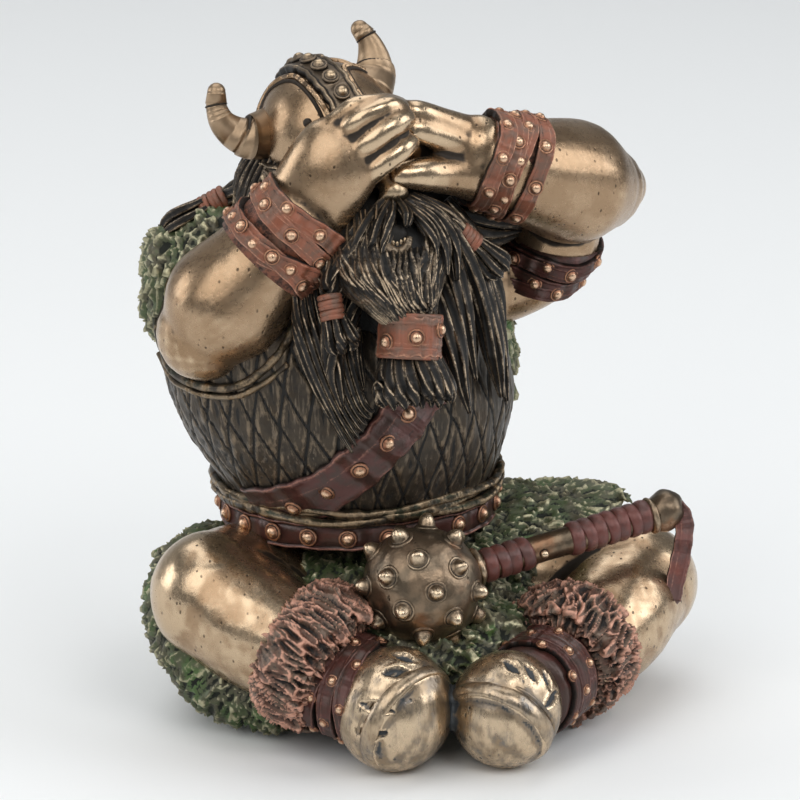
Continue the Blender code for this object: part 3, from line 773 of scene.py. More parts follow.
def tunicBronze():
    material = rubbed("tunicBronze", {
        "deep": (0.005, 0.004, 0.003), "body": (0.060, 0.047, 0.034), "second": (0.040, 0.033, 0.026),
        "worn": (0.22, 0.168, 0.115), "stain": (0.05, 0.034, 0.02), "deepUnder": (0.2, 0.42),
        "wornOver": (0.8, 1.2), "patchy": 0.4, "finely": 0.45, "metal": (0.2, 0.7, 0.9),
        "rough": (0.65, 0.42, 0.36), "mottle": 3.5, "patch": 1.6, "fine": 0.4, "stretch": (1, 1, 0.2),
        "bump": 0.5})
    rubbedEdge, brushed, darkLine = (0.20, 0.145, 0.085), (0.24, 0.19, 0.14), (0.006, 0.005, 0.004)
    tree = material.node_tree
    shader = tree.nodes["Principled BSDF"]
    colour = shader.inputs["Base Color"].links[0].from_socket
    near = []
    for name in ("latticeA", "latticeB"):
        lines = attributeOf(tree, name)
        away = mathOf(tree, "SUBTRACT", lines, mathOf(tree, "ROUND", lines))
        near.append(mathOf(tree, "ABSOLUTE", away))
    closest = mathOf(tree, "MINIMUM", *near)
    broken = spanOf(tree, noiseOf(tree, 2.2, detail=4), 0.38, 0.6)
    edge = productOf(tree, spanOf(tree, closest, 0.03, 0.06), spanOf(tree, closest, 0.06, 0.11, 1.0, 0.0),
                     broken)
    colour = mixOf(tree, productOf(tree, edge, 0.14), colour, rubbedEdge)
    streak = spanOf(tree, noiseOf(tree, 0.55, detail=5, stretch=(1, 1, 0.1)), 0.53, 0.66)
    streak = productOf(tree, streak, spanOf(tree, noiseOf(tree, 3.4, detail=4), 0.42, 0.6))
    colour = mixOf(tree, productOf(tree, streak, 0.5), colour, brushed)
    colour = mixOf(tree, spanOf(tree, closest, 0.035, 0.07, 1.0, 0.0), colour, darkLine)
    tree.links.new(colour, shader.inputs["Base Color"])
    return material


# Flesh: the arms and hands are one skin of polished bronze, and the legs are another.

arms = {
    "voxel": 0.44,
    "right": [
        [(-20, 3, 69, 8.2), (-24.5, -4, 66.5, 7.8)],
        [(-27.0, -8.0, 65.8, 7.6), (-24.2, -10.0, 70.6, 9.8), (-19.2, -12.4, 77.0, 8.4),
         (-13.6, -14.2, 83.4, 6.9)],
    ],
    "left": [
        [(24, 3, 65, 7.6), (32.3, 0.8, 67.8, 6.9), (35.8, 0, 73.0, 7.6)],
        [(46.0, -2.6, 80.6, 4.6), (42.0, -4.4, 81.4, 7.6), (36.8, -6.4, 83.0, 9.9), (30.4, -9.4, 85.6, 9.3),
         (23.8, -12.4, 88.0, 7.9), (18.6, -14.8, 90.0, 6.6)],
    ],
    "balls": [((-20.4, 4, 68), (8.6, 9.5, 10)), ((22.5, 3.5, 66), (8.4, 9.2, 9.6)),
              ((8.4, -12.8, 93.8), (6.8, 2.6, 5.4))],
    "tooling": ((6.5, 0.14, 11), (2.4, 0.035, 12), (0.9, 0.01, 13)),
    "elbow": [(42.0, -4.0, 81.2, 7.2), (46.4, -2.4, 80.5, 4.2), (48.9, -2.0, 80.0, 1.9)],
    "facing": (-0.45, -0.82, 0.35),
    "flat": 0.66,
    "rightPalm": [(-13.6, -14.2, 83.4, 6.9), (-11.1, -15.8, 88.9, 7.2), (-9.0, -17.0, 92.8, 7.3),
                  (-6.9, -17.2, 96.0, 6.6), (-5.4, -17.0, 97.6, 4.6), (-4.6, -17.0, 98.4, 2.6)],
    "leftPalm": [(18.6, -14.8, 90.0, 6.6), (15.6, -15.4, 91.3, 6.8), (13.4, -15.8, 92.8, 6.4),
                 (11.6, -16.2, 93.8, 4.6), (10.8, -16.4, 94.2, 2.6)],
    "rightHand": [
        [(-8.5, -16.4, 99.6, 1.7), (-6.1, -18.0, 102.2, 1.6), (-3.1, -18.6, 102.7, 1.45),
         (0.1, -18.0, 102.3, 1.4), (2.2, -16.8, 101.5, 1.2)],
        [(-7.6, -18.0, 97.9, 1.9), (-6.2, -19.8, 100.3, 1.8), (-3.5, -20.4, 101.8, 1.65),
         (-0.7, -20.0, 102.3, 1.55), (1.6, -18.8, 101.5, 1.35)],
        [(-7.0, -18.8, 94.6, 2.1), (-5.4, -20.8, 96.6, 2.05), (-3.1, -21.8, 98.5, 1.95),
         (-0.3, -21.4, 99.9, 1.85), (1.9, -20.2, 100.1, 1.5)],
        [(-6.2, -18.8, 90.4, 2.2), (-4.3, -21.2, 92.6, 2.1), (-2.3, -22.2, 94.4, 1.95), (0.3, -22.0, 95.9, 1.8),
         (2.3, -20.8, 96.4, 1.5)],
    ],
    "leftHand": [
        [(14.0, -14.8, 94.8, 3.6), (9.4, -15.8, 97.6, 2.7), (5.6, -16.4, 99.6, 2.1), (2.7, -16.2, 100.5, 1.5)],
        [(13.4, -15.8, 93.4, 3.4), (9.0, -16.9, 95.8, 2.5), (5.4, -17.5, 97.3, 2.0), (2.4, -17.2, 98.1, 1.5)],
        [(14.0, -16.2, 89.4, 4.2), (9.4, -17.6, 90.0, 3.2), (5.0, -19.0, 90.7, 2.7), (1.5, -19.0, 90.9, 2.2)],
    ],
}


def hand(pile, palm, fingers):
    tube(pile, palm, flat=arms["flat"], up=arms["facing"], sides=32, steps=6)
    x, y, z, radius = palm[-2]
    ball(pile, (x, y, z), (radius * 0.9, radius * 0.62, radius * 0.9), segments=20)
    for finger in fingers:
        limb(pile, finger, sides=16, steps=4)


def armsPiece():
    pile = []
    for stretch in arms["right"] + arms["left"]:
        limb(pile, stretch, sides=32, steps=8)
    limb(pile, arms["elbow"], sides=32, steps=6)
    for centre, radii in arms["balls"]:
        ball(pile, centre, radii, segments=32)
    hand(pile, arms["rightPalm"], arms["rightHand"])
    hand(pile, arms["leftPalm"], arms["leftHand"])
    piece = joined(pile, "arms")
    oneSkin(piece, arms["voxel"], soften=6)
    carve(piece, roughened(*arms["tooling"]))
    markRelief(piece, rounds=6, gain=3.6)
    settle(piece, skinBronze())


legs = {
    "voxel": 0.68,
    # thick: the radius of the thigh, the knee and the ankle
    "right": {"hip": (-8, 4, 14), "knee": (-26.2, -8.0, 22.4), "ankle": (-12.5, -25.5, 12.6),
              "thick": (12.5, 10.2, 7.4)},
    "left": {"hip": (14, 4, 13), "knee": (45.0, -14.0, 16.4), "ankle": (25.5, -31.0, 10.6),
             "thick": (12.5, 10.2, 7.2)},
    "seat": ((3, 6, 12), (24, 18, 12)),
    "tooling": ((9, 0.3, 21), (3.2, 0.10, 22), (1.1, 0.03, 23)),
}


def leg(pile, look):
    hip, knee, ankle = (Vector(look[name]) for name in ("hip", "knee", "ankle"))
    thigh, kneeSize, ankleSize = look["thick"]
    tube(pile, [(*hip, thigh), (*hip.lerp(knee, 0.55), thigh), (*knee, kneeSize)], sides=32)
    ball(pile, knee, (kneeSize,) * 3, segments=32)
    shin = [(*knee, kneeSize * 0.96), (*knee.lerp(ankle, 0.45), kneeSize * 0.98), (*ankle, ankleSize)]
    tube(pile, shin, sides=32)


def flattened(piece):
    # nothing hangs below the ground
    places = placesOf(piece.data)
    places[:, 2] = np.maximum(places[:, 2], 0.02 * unit)
    putPlaces(piece.data, places)


def legsPiece():
    pile = []
    leg(pile, legs["right"])
    leg(pile, legs["left"])
    ball(pile, *legs["seat"], segments=32)
    piece = joined(pile, "legs")
    oneSkin(piece, legs["voxel"], soften=10)
    carve(piece, roughened(*legs["tooling"]))
    flattened(piece)
    markRelief(piece, rounds=5, gain=5.0)
    settle(piece, skinBronze())


# Fur: a dense skin pressed into leaf-shaped hollows with thin rims, stretched the way the fur lies.

def shag(piece, cellOf, look):
    # cellOf takes places in units to cells: x runs the way the fur lies, one cell to a tuft
    mesh = piece.data
    units = unitsOf(mesh)
    cells = cellOf(units)
    for axis in range(3):
        cells[:, axis] += grain(units, look["wander"], look["seed"] + axis) * look["astray"]
    count = len(cells)
    border, lead = np.zeros(count), np.zeros(count)  # how far inside its cell a point is, and how far on
    for i, cell in enumerate(cells.tolist()):
        near, middles = noise.voronoi(cell)
        border[i] = near[1] - near[0]
        lead[i] = cell[0] - middles[0][0]
    rim = np.exp(-(border / look["rim"]) ** 2)
    hollow = 1 - np.exp(-(border / look["hollow"]) ** 2)
    rough = 0.7 + 0.5 * grain(units, 3.5, look["seed"] + 5)
    rise = (rim * look["high"] - hollow * look["deep"]) * rough + np.clip(lead, -0.6, 0.6) * look["lean"]
    rise += grain(units, 5.0, look["seed"] + 7) * look["lumps"]
    rise += grain(cells * np.array(look["strand"]), 1.0, look["seed"] + 9) * look["strandHigh"]
    putPlaces(mesh, placesOf(mesh) + normalsOf(mesh) * rise[:, None] * unit)
    flattened(piece)
    markRelief(piece, rounds=3, gain=1.5)
    relief = np.zeros(count, np.float32)
    mesh.attributes["ridge"].data.foreach_get("value", relief)
    worn = 0.08 + 0.62 * rim * rough + 0.2 * np.clip(lead, -0.5, 0.5)  # the rims and tips are rubbed bright
    putValues(mesh, "ridge", np.clip(0.5 * relief + worn, 0, 1))


def tufts(pile, roots, look, seed):
    # tapered tufts that break the outline: roots give a place, the way out and the way it lies
    chance = random.Random(seed)
    for root, out, lie in roots:
        size = look["tuft"] * chance.uniform(0.7, 1.25)
        root, out, lie = Vector(root), Vector(out).normalized(), Vector(lie).normalized()
        middle = root + lie * size * 1.1 + out * size * 0.45
        tip = root + lie * size * 2.2 + out * size * chance.uniform(0.1, 0.7)
        tuft = [(*root, size * 0.75), (*middle, size * 0.62), (*tip, size * 0.14)]
        tube(pile, tuft, sides=8, steps=3, up=out)


cuffs = {
    "right": {"centre": (-14.8, -21.8, 15.6), "axis": (0.62, -0.74, -0.42), "radius": 8.2, "seed": 31},
    "left": {"centre": (27.4, -27.2, 12.6), "axis": (-0.68, -0.62, -0.26), "radius": 7.3, "seed": 47},
    "thick": 3.9,
    "voxel": 0.305, "cellWide": 1.2, "cellLong": 4.6, "tuft": 1.3, "tuftsRound": 24,
    "rim": 0.11, "hollow": 0.32, "high": 0.4, "deep": 0.9, "lean": 0.8, "lumps": 0.35,
    "wander": 3.2, "astray": 0.4, "strand": (0.7, 2.4, 2.4), "strandHigh": 0.17,
}


def cuffPiece(name):
    look = cuffs | cuffs[name]
    centre, axis = Vector(look["centre"]), Vector(look["axis"]).normalized()
    side, other = acrossOf(axis)
    pile = []
    hoop(pile, look["centre"], (look["radius"],) * 2, look["thick"], outward=axis, tall=1.4, around=56,
         section=20)
    roots = []
    for step in range(look["tuftsRound"]):
        out = spoke(side, other, math.tau * step / look["tuftsRound"])
        roots.append((centre + out * (look["radius"] + 2.2) + axis * 3.4, out, axis))
    tufts(pile, roots, look, look["seed"])
    piece = joined(pile, name + "FurCuff")
    oneSkin(piece, look["voxel"])

    def cellOf(units):
        away = units - np.array(centre)
        along = away @ np.array(axis)
        across = np.stack([away @ np.array(side), away @ np.array(other)], axis=1)
        reach = np.hypot(*across.T)
        tip = np.arctan2(along / 1.4, reach - look["radius"])
        wide = (look["radius"] + look["thick"]) / look["cellWide"]
        return np.stack([tip * look["thick"] * 1.25 / look["cellLong"], across[:, 0] / reach * wide,
                         across[:, 1] / reach * wide], axis=1)

    shag(piece, cellOf, look)
    settle(piece, redFur())


kilt = {
    "balls": [((3, -6, 16), (27, 20, 12.4)), ((3.5, 8, 13.2), (27.0, 18.6, 14.6)),
              ((9, -20, 12), (23.4, 13.4, 9.6)), ((26, -3, 20), (18.6, 12.6, 11.4))],
    "thighs": [[(6, 3, 19, 10.6), (24, -2, 20, 12.2), (44, -7, 19.6, 11.2)],
               [(-4, 3, 17, 10.6), (-17, 4, 18.5, 10.4), (-24.6, 1.5, 19.6, 9.2), (-26.0, -3, 13, 8.0),
                (-23.5, -9, 8.5, 7.4), (-16, -17, 7.2, 6.4)]],
    "middle": (3, 2), "voxel": 0.56, "tuft": 1.7, "cellWide": 1.35, "cellLong": 5.6, "seed": 61,
    "rim": 0.11, "hollow": 0.34, "high": 0.45, "deep": 0.8, "lean": 0.8, "lumps": 0.6,
    "wander": 3.4, "astray": 0.6, "strand": (0.7, 1.7, 1.7), "strandHigh": 0.24,
    "columns": range(-30, 52, 4), "lines": range(-32, 14, 4), "leastHigh": 12,  # where the tufts stand
}


def kiltPiece():
    pile = []
    for centre, radii in kilt["balls"]:
        ball(pile, centre, radii, segments=36)
    for thigh in kilt["thighs"]:
        tube(pile, thigh, sides=28)
    form = joined([shape.copy() for shape in pile], "kiltForm")
    inside = surface(form)
    bpy.data.objects.remove(form)
    roots = []
    for x in kilt["columns"]:
        for y in kilt["lines"]:
            away = Vector((x - kilt["middle"][0], y - kilt["middle"][1], 0))
            hit, normal, _, _ = inside.ray_cast(at((x + y % 3, y, 45)), Vector((0, 0, -1)))
            if hit is not None and hit.z > kilt["leastHigh"] * unit:
                root = hit / unit + figure["footprint"] - normal * 1.2
                roots.append((root, normal, away.normalized() + Vector((0, 0, -0.35))))
    tufts(pile, roots, kilt, kilt["seed"])
    piece = joined(pile, "kiltFur")
    oneSkin(piece, kilt["voxel"])

    def cellOf(units):
        x, y = units[:, 0] - kilt["middle"][0], units[:, 1] - kilt["middle"][1]
        reach = np.hypot(x, y)
        wide = 34 / kilt["cellWide"]
        return np.stack([(reach - units[:, 2] * 0.6) / kilt["cellLong"], x / reach * wide,
                         y / reach * wide + units[:, 2] / kilt["cellWide"] * 0.8], axis=1)

    shag(piece, cellOf, kilt)
    settle(piece, greenFur())


cloak = {
    "balls": [((3.8, 9, 54), (27.6, 20.8, 21.0)), ((0, 8, 68), (25.4, 16.4, 11.6)),
              ((-18.8, 8.5, 70.5), (10.6, 9.5, 10.6)), ((-25.7, 11, 68.0), (4.7, 7.5, 10.5))],
    "voxel": 0.55, "tuft": 1.7, "cellWide": 1.6, "cellLong": 5.0, "seed": 83,
    "rim": 0.12, "hollow": 0.34, "high": 0.5, "deep": 1.0, "lean": 1.2, "lumps": 0.7,
    "wander": 4.5, "astray": 0.5, "strand": (0.7, 1.9, 1.9), "strandHigh": 0.26,
    # rows of tufts on a ball: how high, in shares of its radius, and how many; then the degrees they go round
    "rows": ((0.85, 13), (0.6, 16), (0.3, 19), (0.0, 20), (-0.3, 20), (-0.6, 18), (-0.85, 14)),
    "arc": (58, 302),
}


def cloakPiece():
    pile = []
    for centre, radii in cloak["balls"]:
        ball(pile, centre, radii, segments=36)
    roots = []
    start, end = cloak["arc"]
    for (centre, radii), rows in zip(cloak["balls"], (cloak["rows"], cloak["rows"][:4])):
        for row, (level, count) in enumerate(rows):
            wide = math.sqrt(1 - level * level)
            for step in range(count):
                a = math.radians(start + (end - start) * (step + row % 2 / 2) / (count - 1))
                out = Vector((math.sin(a) * wide, -math.cos(a) * wide, level))
                spot = Vector(centre) + Vector(radii) * out * 0.96
                roots.append((spot, out, Vector((out.x * 0.25, out.y * 0.25, -1))))
    tufts(pile, roots, cloak, cloak["seed"])
    piece = joined(pile, "cloakFur")
    oneSkin(piece, cloak["voxel"])

    def cellOf(units):
        return np.stack([-units[:, 2] / cloak["cellLong"], units[:, 0] / cloak["cellWide"],
                         units[:, 1] / cloak["cellWide"]], axis=1)

    shag(piece, cellOf, cloak)
    settle(piece, greenFur())


# Hair and beard: bundles of fluted strands.

def bundle(pile, stations, strands=4, spread=0.55, thick=0.62, turn=0.45, **shape):
    look = {"sides": 16, "steps": 4, "flutes": 4, "depth": 0.46, "twist": 0.6, "up": (0.15, 0.3, 1)} | shape
    frames = framesAlong([Vector(station[:3]) for station in stations], look["up"])
    for k in range(strands):
        moved = []
        for i, (point, side, other) in enumerate(frames):
            a = math.tau * k / strands + turn * i + len(stations)
            radius = stations[i][3]
            moved.append((*(point + spoke(side, other, a) * radius * spread), radius * thick))
        tube(pile, moved, **look)


beard = {
    "core": [((0, -15.5, 80), (10.0, 7.0, 7.6)), ((-0.5, -20.6, 77), (7.6, 6.6, 7.8)),
             ((-0.8, -24.0, 72.5), (5.6, 4.8, 6.0)), ((-1, -15.0, 68.5), (8.6, 5.0, 8.0))],
    "strands": 25, "spread": 80,
    "tasselCore": (3.8, 3.2, 4.4), "tasselStrands": 16,
    "strandLook": {"sides": 16, "flutes": 4, "twist": 0.5, "up": (0.2, 0.2, 1)},
    "ring": {"centre": (-1.0, -28.8, 68.2), "tilt": -14, "roll": 9, "radius": 4.3, "tall": 6.4,
             "studs": ((-67, -0.3), (-10, 0.0), (47, 0.7), (180, 0.0))},
    "mouth": (-1.7, -25.4, 82.8),
    "moustache": [
        [(-0.8, -20.6, 87.0, 0.9), (-2.2, -23.6, 85.6, 1.1), (-3.6, -25.2, 83.0, 1.0),
         (-4.2, -26.0, 80.4, 0.4)],
        [(-1.2, -20.4, 87.0, 1.0), (-3.8, -23.0, 85.0, 1.2), (-5.4, -24.8, 81.6, 1.1),
         (-6.0, -25.8, 77.6, 0.5)],
        [(-1.8, -20.0, 87.2, 1.0), (-5.4, -22.2, 84.6, 1.3), (-7.4, -23.6, 80.4, 1.2),
         (-7.6, -24.8, 75.0, 0.6)],
        [(0.6, -20.8, 87.0, 0.9), (0.4, -24.2, 86.0, 1.0), (-0.2, -25.6, 84.8, 0.5)],
        [(1.4, -20.8, 87.0, 1.0), (2.8, -23.8, 85.2, 1.2), (4.2, -25.2, 82.4, 1.2), (4.4, -26.0, 79.0, 0.5)],
        [(1.8, -20.4, 87.2, 1.0), (4.6, -23.0, 85.0, 1.3), (6.2, -24.6, 81.2, 1.3), (6.2, -25.8, 76.4, 0.6)],
        [(2.2, -20.0, 87.4, 1.0), (6.2, -22.2, 85.0, 1.4), (8.4, -23.4, 80.6, 1.4), (8.6, -24.4, 75.0, 0.7)],
    ],
}


def ringWays():
    # down through the ring, across it and out of its front
    ring = beard["ring"]
    turn = Euler((math.radians(ring["tilt"]), math.radians(ring["roll"]), 0)).to_matrix()
    down, aside = turn @ Vector((0, 0, -1)), Vector((1, 0, 0))
    return down, aside, down.cross(aside)


def chinStrands(pile, chance):
    # two layers that fan out from the mouth and close in on the ring
    for layer, (lift, size) in enumerate(((0.0, 1.4), (0.6, 1.15))):
        for step in range(beard["strands"] - layer * 5):
            share = (step + 0.5 * layer) / (beard["strands"] - 1 - layer * 5) * 2 - 1
            a = math.radians(beard["spread"] * share)
            wave = chance.uniform(-0.5, 0.5)
            s, c = math.sin(a), math.cos(a)
            high = 88.0 - 5.0 * share * share - layer * 1.5 - chance.uniform(0, 1.5)
            stations = [(0.4 + s * 8.8, -16.4 - c * (5.4 + lift), high, size * 0.6),
                        (-1.0 + s * 8.8 + wave, -19.6 - c * (6.4 + lift), min(high - 1.5, 80.5 - layer), size),
                        (-2.2 + s * 7.4 - wave * 0.9, -22.8 - c * (6.4 + lift), 76.6, size * 1.05),
                        (-1.8 + s * 5.2 + wave * 0.6, -25.8 - c * (5.0 + lift), 73.2, size * 0.95),
                        (-1.2 + s * 3.4, -27.8 - c * 3.1, 70.6, size * 0.75)]
            if abs(share) < 0.3:  # under the mouth
                stations[0] = (-0.8 + s * 9.0, -26.0 - lift, 81.0 - layer, size * 0.6)
                stations[1] = (-1.4 + s * 8.6, -27.4 - lift, 79.4 - layer, size)
            tube(pile, stations, depth=0.5, **beard["strandLook"])


def tassel(pile, chance):
    # the tail below the ring, leaning to one side
    ring = beard["ring"]
    middle = Vector(ring["centre"])
    down, aside, front = ringWays()
    ball(pile, middle + down * 5.6 + aside * 0.6, beard["tasselCore"], segments=20, ridge=0.0)
    for layer, (reach, size) in enumerate(((1.0, 1.25), (0.72, 1.2))):
        for step in range(beard["tasselStrands"]):
            a = math.tau * (step + 0.5 * layer) / beard["tasselStrands"] + chance.uniform(-0.08, 0.08)
            out = spoke(front, aside, a)
            top = middle + down * (ring["tall"] / 2 - 0.6) + out * 3.4 * reach
            swell = middle + down * (5.8 + chance.uniform(-0.4, 0.4)) + out * 4.6 * reach + aside * 0.6
            low = middle + down * (8.8 + chance.uniform(-0.6, 0.6)) + out * 5.4 * reach + aside * 1.4
            tip = middle + down * (10.9 + chance.uniform(-0.9, 0.3)) + out * 5.2 * reach + aside * 1.9
            tube(pile, [(*top, size * 0.8), (*swell, size), (*low, size), (*tip, size * 0.22)], steps=4,
                 depth=0.46, **beard["strandLook"])


def beardPiece():
    pile = []
    for centre, radii in beard["core"]:
        ball(pile, centre, radii, ridge=0.1)
    chance = random.Random(5)
    chinStrands(pile, chance)
    tassel(pile, chance)
    for line in beard["moustache"]:
        bundle(pile, line, strands=3, depth=0.5, turn=0.2)
    piece = joined(pile, "beard")
    settle(piece, darkHair())


mouth = {
    "lip": [(-3.7, -24.9, 83.2, 0.5), (-3.2, -25.6, 81.6, 0.75), (-1.9, -26.0, 80.8, 0.85),
            (-0.5, -25.9, 81.3, 0.8), (0.4, -25.3, 82.9, 0.5)],
    "facing": (-0.05, -0.93, 0.2), "hollow": (2.3, 1.2, 2.2), "hollowDeep": 1.2,
    "teeth": 5, "toothWide": 0.34,
}


def mouthPiece():
    pile = []
    centre, facing = Vector(beard["mouth"]), Vector(mouth["facing"]).normalized()
    tube(pile, mouth["lip"], sides=14, ridge=0.7)
    ball(pile, centre - facing * mouth["hollowDeep"], mouth["hollow"], segments=18, ridge=0.0)
    for step in range(mouth["teeth"]):
        share = step - (mouth["teeth"] - 1) / 2
        spot = centre + Vector((share * mouth["toothWide"] * 1.9, 0.1, -0.9 + abs(share) * 0.22))
        ball(pile, spot, (mouth["toothWide"] * 0.9, 0.35, 0.6), segments=10, ridge=0.9)
    piece = joined(pile, "mouth")
    settle(piece, darkBronze())


hair = {
    "core": [((-4, 3.5, 86.4), (10.4, 10.0, 9.4)), ((-1, 3, 78), (14.2, 11.4, 8.6)),
             ((8, -8.0, 83), (6.6, 6.4, 6.6)), ((16, -3, 79.4), (6.6, 6.0, 5.2)),
             ((23, -1, 77.8), (5.6, 4.2, 4.0)), ((-11.5, -5.5, 78), (6.4, 6.0, 6.6))],
    "locks": [
        [(2.6, -19.8, 87.4, 1.1), (6.6, -21.6, 84.6, 1.5), (9.8, -22.4, 80.0, 1.7), (12.2, -22.4, 74.6, 1.8),
         (14.6, -21.6, 68.0, 1.8), (16.4, -21.0, 61.0, 1.6), (18.4, -19.4, 53.4, 0.5)],
        [(3.6, -19.0, 87.0, 1.1), (8.6, -20.6, 84.0, 1.6), (11.8, -21.0, 79.0, 1.9), (14.4, -20.6, 72.0, 2.0),
         (16.8, -19.8, 65.0, 1.8), (18.6, -18.6, 58.0, 1.3), (20.0, -17.8, 52.0, 0.4)],
        [(4, -19, 84, 1.4), (8.2, -21.4, 79, 1.8), (9.8, -23.0, 71, 1.7), (11.0, -23.4, 64, 1.2),
         (12.4, -23.2, 58, 0.4)],
        [(-1.0, -19.4, 86, 1.2), (-6, -21.6, 83, 1.8), (-10.0, -22.6, 77, 2.0), (-11.6, -23.4, 70, 1.9),
         (-11.8, -24.4, 63, 1.5), (-10.6, -25.0, 57, 0.5)],
        [(10, -14, 84, 2.0), (14.5, -15.5, 78, 2.2), (17.6, -16.4, 71, 1.9), (19.2, -16.4, 65, 1.2),
         (20.0, -16.2, 60, 0.4)],
        [(3, -17, 80, 2.2), (7.0, -21, 73, 2.2), (8.5, -23.4, 65, 2.0), (9.6, -24.2, 58, 1.2),
         (11.0, -24.2, 53, 0.4)],
    ],
    "besideRing": [(-5.6, -20.6, 79, 1.2), (-7.8, -22.6, 73.0, 1.5), (-8.2, -23.0, 67.6, 1.4),
                   (-7.4, -23.2, 62.6, 1.0), (-6.4, -23.4, 58.4, 0.3)],
    "falls": (-2.6, -1.4, -0.2, 1.0, 2.2, 3.4, 4.6),  # how far each fall is moved aside
    "side": {"root": (5, -5, 84.6), "tip": (29.5, 0.6, 75.6), "strands": 18},
    "backStrands": 36, "backArc": (50, 276),  # degrees: where the back's strands start, and how far they go
}


def backStrands(pile):
    # round the head from ear to ear, down over the cloak
    chance = random.Random(9)
    start, arc = hair["backArc"]
    for step in range(hair["backStrands"]):
        a = math.radians(start + arc * step / (hair["backStrands"] - 1))
        s, c = math.sin(a), -math.cos(a)
        wave = chance.uniform(-0.9, 0.9)
        bundle(pile, [(-4 + s * 9.6, 1.5 + c * 9.6, 91, 1.5),
                      (-4 + s * 11.2, 2.5 + c * 10.6, 86.5 + wave, 1.9),
                      (-2 + s * 14.0 + wave, 3 + c * 12.0, 80.5, 2.0),
                      (-1 + s * 18.0, 4 + c * 14.5, 75.0 + wave, 1.6),
                      (-1 + s * 21.5 - wave, 5 + c * 16.5, 70.5 + wave * 2, 0.4)],
               strands=3, steps=3, sides=12)


def sideStrands(pile):
    # the sheaf over the left shoulder, tapering to its tip
    root, tip = (Vector(hair["side"][name]) for name in ("root", "tip"))
    side, other = acrossOf((tip - root).normalized())
    for step in range(hair["side"]["strands"]):
        out = spoke(side, other, math.tau * step / hair["side"]["strands"])
        bundle(pile, [(*(root + out * 5.4), 1.5), (*(root.lerp(tip, 0.3) + out * 6.5), 1.8),
                      (*(root.lerp(tip, 0.65) + out * 5.6), 1.6), (*(tip + out * 2.4), 0.4)],
               strands=3, steps=3, sides=12)


def hairPiece():
    pile = []
    for centre, radii in hair["core"]:
        ball(pile, centre, radii, ridge=0.1)
    for lock in hair["locks"]:
        bundle(pile, lock)
    for shift in hair["falls"]:
        bundle(pile, [(-13.4 + shift * 0.8, -18.8, 74.5, 0.9), (-13.8 + shift, -21.4, 69.0, 1.0),
                      (-12.8 + shift * 0.9, -22.9, 63, 1.0), (-11.0 + shift * 0.8, -24.0, 57.5, 0.85),
                      (-8.8 + shift * 0.6, -24.4, 53.2 + shift * 0.5, 0.55),
                      (-7.4 + shift * 0.5, -24.2, 51.2 + shift * 0.9, 0.2)], strands=3, turn=0.2, depth=0.5)
    bundle(pile, hair["besideRing"], strands=5, turn=0.3)
    backStrands(pile)
    sideStrands(pile)
    piece = joined(pile, "hair")
    settle(piece, darkHair())


braids = {
    "plaits": [
        {"root": (-11.0, -21, 79), "tie": (-12.4, -25.0, 73.0), "tip": (-10.8, -26.4, 66.4), "wide": 1.85},
        {"root": (7.4, -20.6, 84.0), "tie": (11.5, -21.8, 80.6), "tip": (17.0, -22.2, 74.8), "wide": 1.7},
        {"root": (-10.6, 4.4, 86.4), "tie": (-19.0, 9.0, 81.4), "tip": (-26.6, 9.6, 77.0), "wide": 2.1,
         "flare": 0.95},
        {"root": (3, 10, 84), "tie": (5, 17.5, 79), "tip": (6, 24.0, 72), "wide": 3.0},
    ],
}


def braidHair(pile, plait):
    root, tie, tip = (Vector(plait[name]) for name in ("root", "tie", "tip"))
    wide, flare = plait["wide"], plait.get("flare", 1)
    plaited = [(*root, wide * 0.8), (*root.lerp(tie, 0.5), wide * 0.95), (*tie, wide * 0.7)]
    bundle(pile, plaited, strands=5, turn=1.3)
    tail = [(*tie, wide * 0.7), (*tie.lerp(tip, 0.4), wide), (*tie.lerp(tip, 0.8), wide * 1.3 * flare),
            (*tip, wide * 0.9 * flare)]
    for strands, spread in ((7, 0.95), (5, 0.55)):
        bundle(pile, tail, strands=strands, turn=0.12, thick=0.36, spread=spread)


def braidsPiece():
    pile = []
    for plait in braids["plaits"]:
        braidHair(pile, plait)
    piece = joined(pile, "braids")
    settle(piece, darkHair())


# Red leather: the bracers, and the bands round the beard and the braids. The armband is wound like a bracer.

leather = {
    "bracers": [
        {"start": (-18.6, -12.7, 77.8), "end": (-11.8, -14.9, 85.6), "radii": (8.6, 7.4), "bands": 4,
         "studs": 8, "lean": 9, "phase": 0.2},
        {"start": (25.2, -12.1, 87.9), "end": (16.8, -14.4, 91.0), "radii": (8.1, 6.75), "bands": 4,
         "studs": 8, "lean": 5, "phase": 0.6, "normal": (-0.926, 0.16, 0.334)},
    ],
    "armband": {"start": (31.6, 0.6, 66.6), "end": (35.9, 0, 72.6), "radii": (7.0, 7.6), "bands": 4, "studs": 5,
                "lean": 5, "phase": 0.3, "normal": (0.154, -0.224, 0.961)},
    "bandThick": 0.6, "bandLap": 1.22, "studSize": 0.92, "sleeveRidge": 0.3,
}


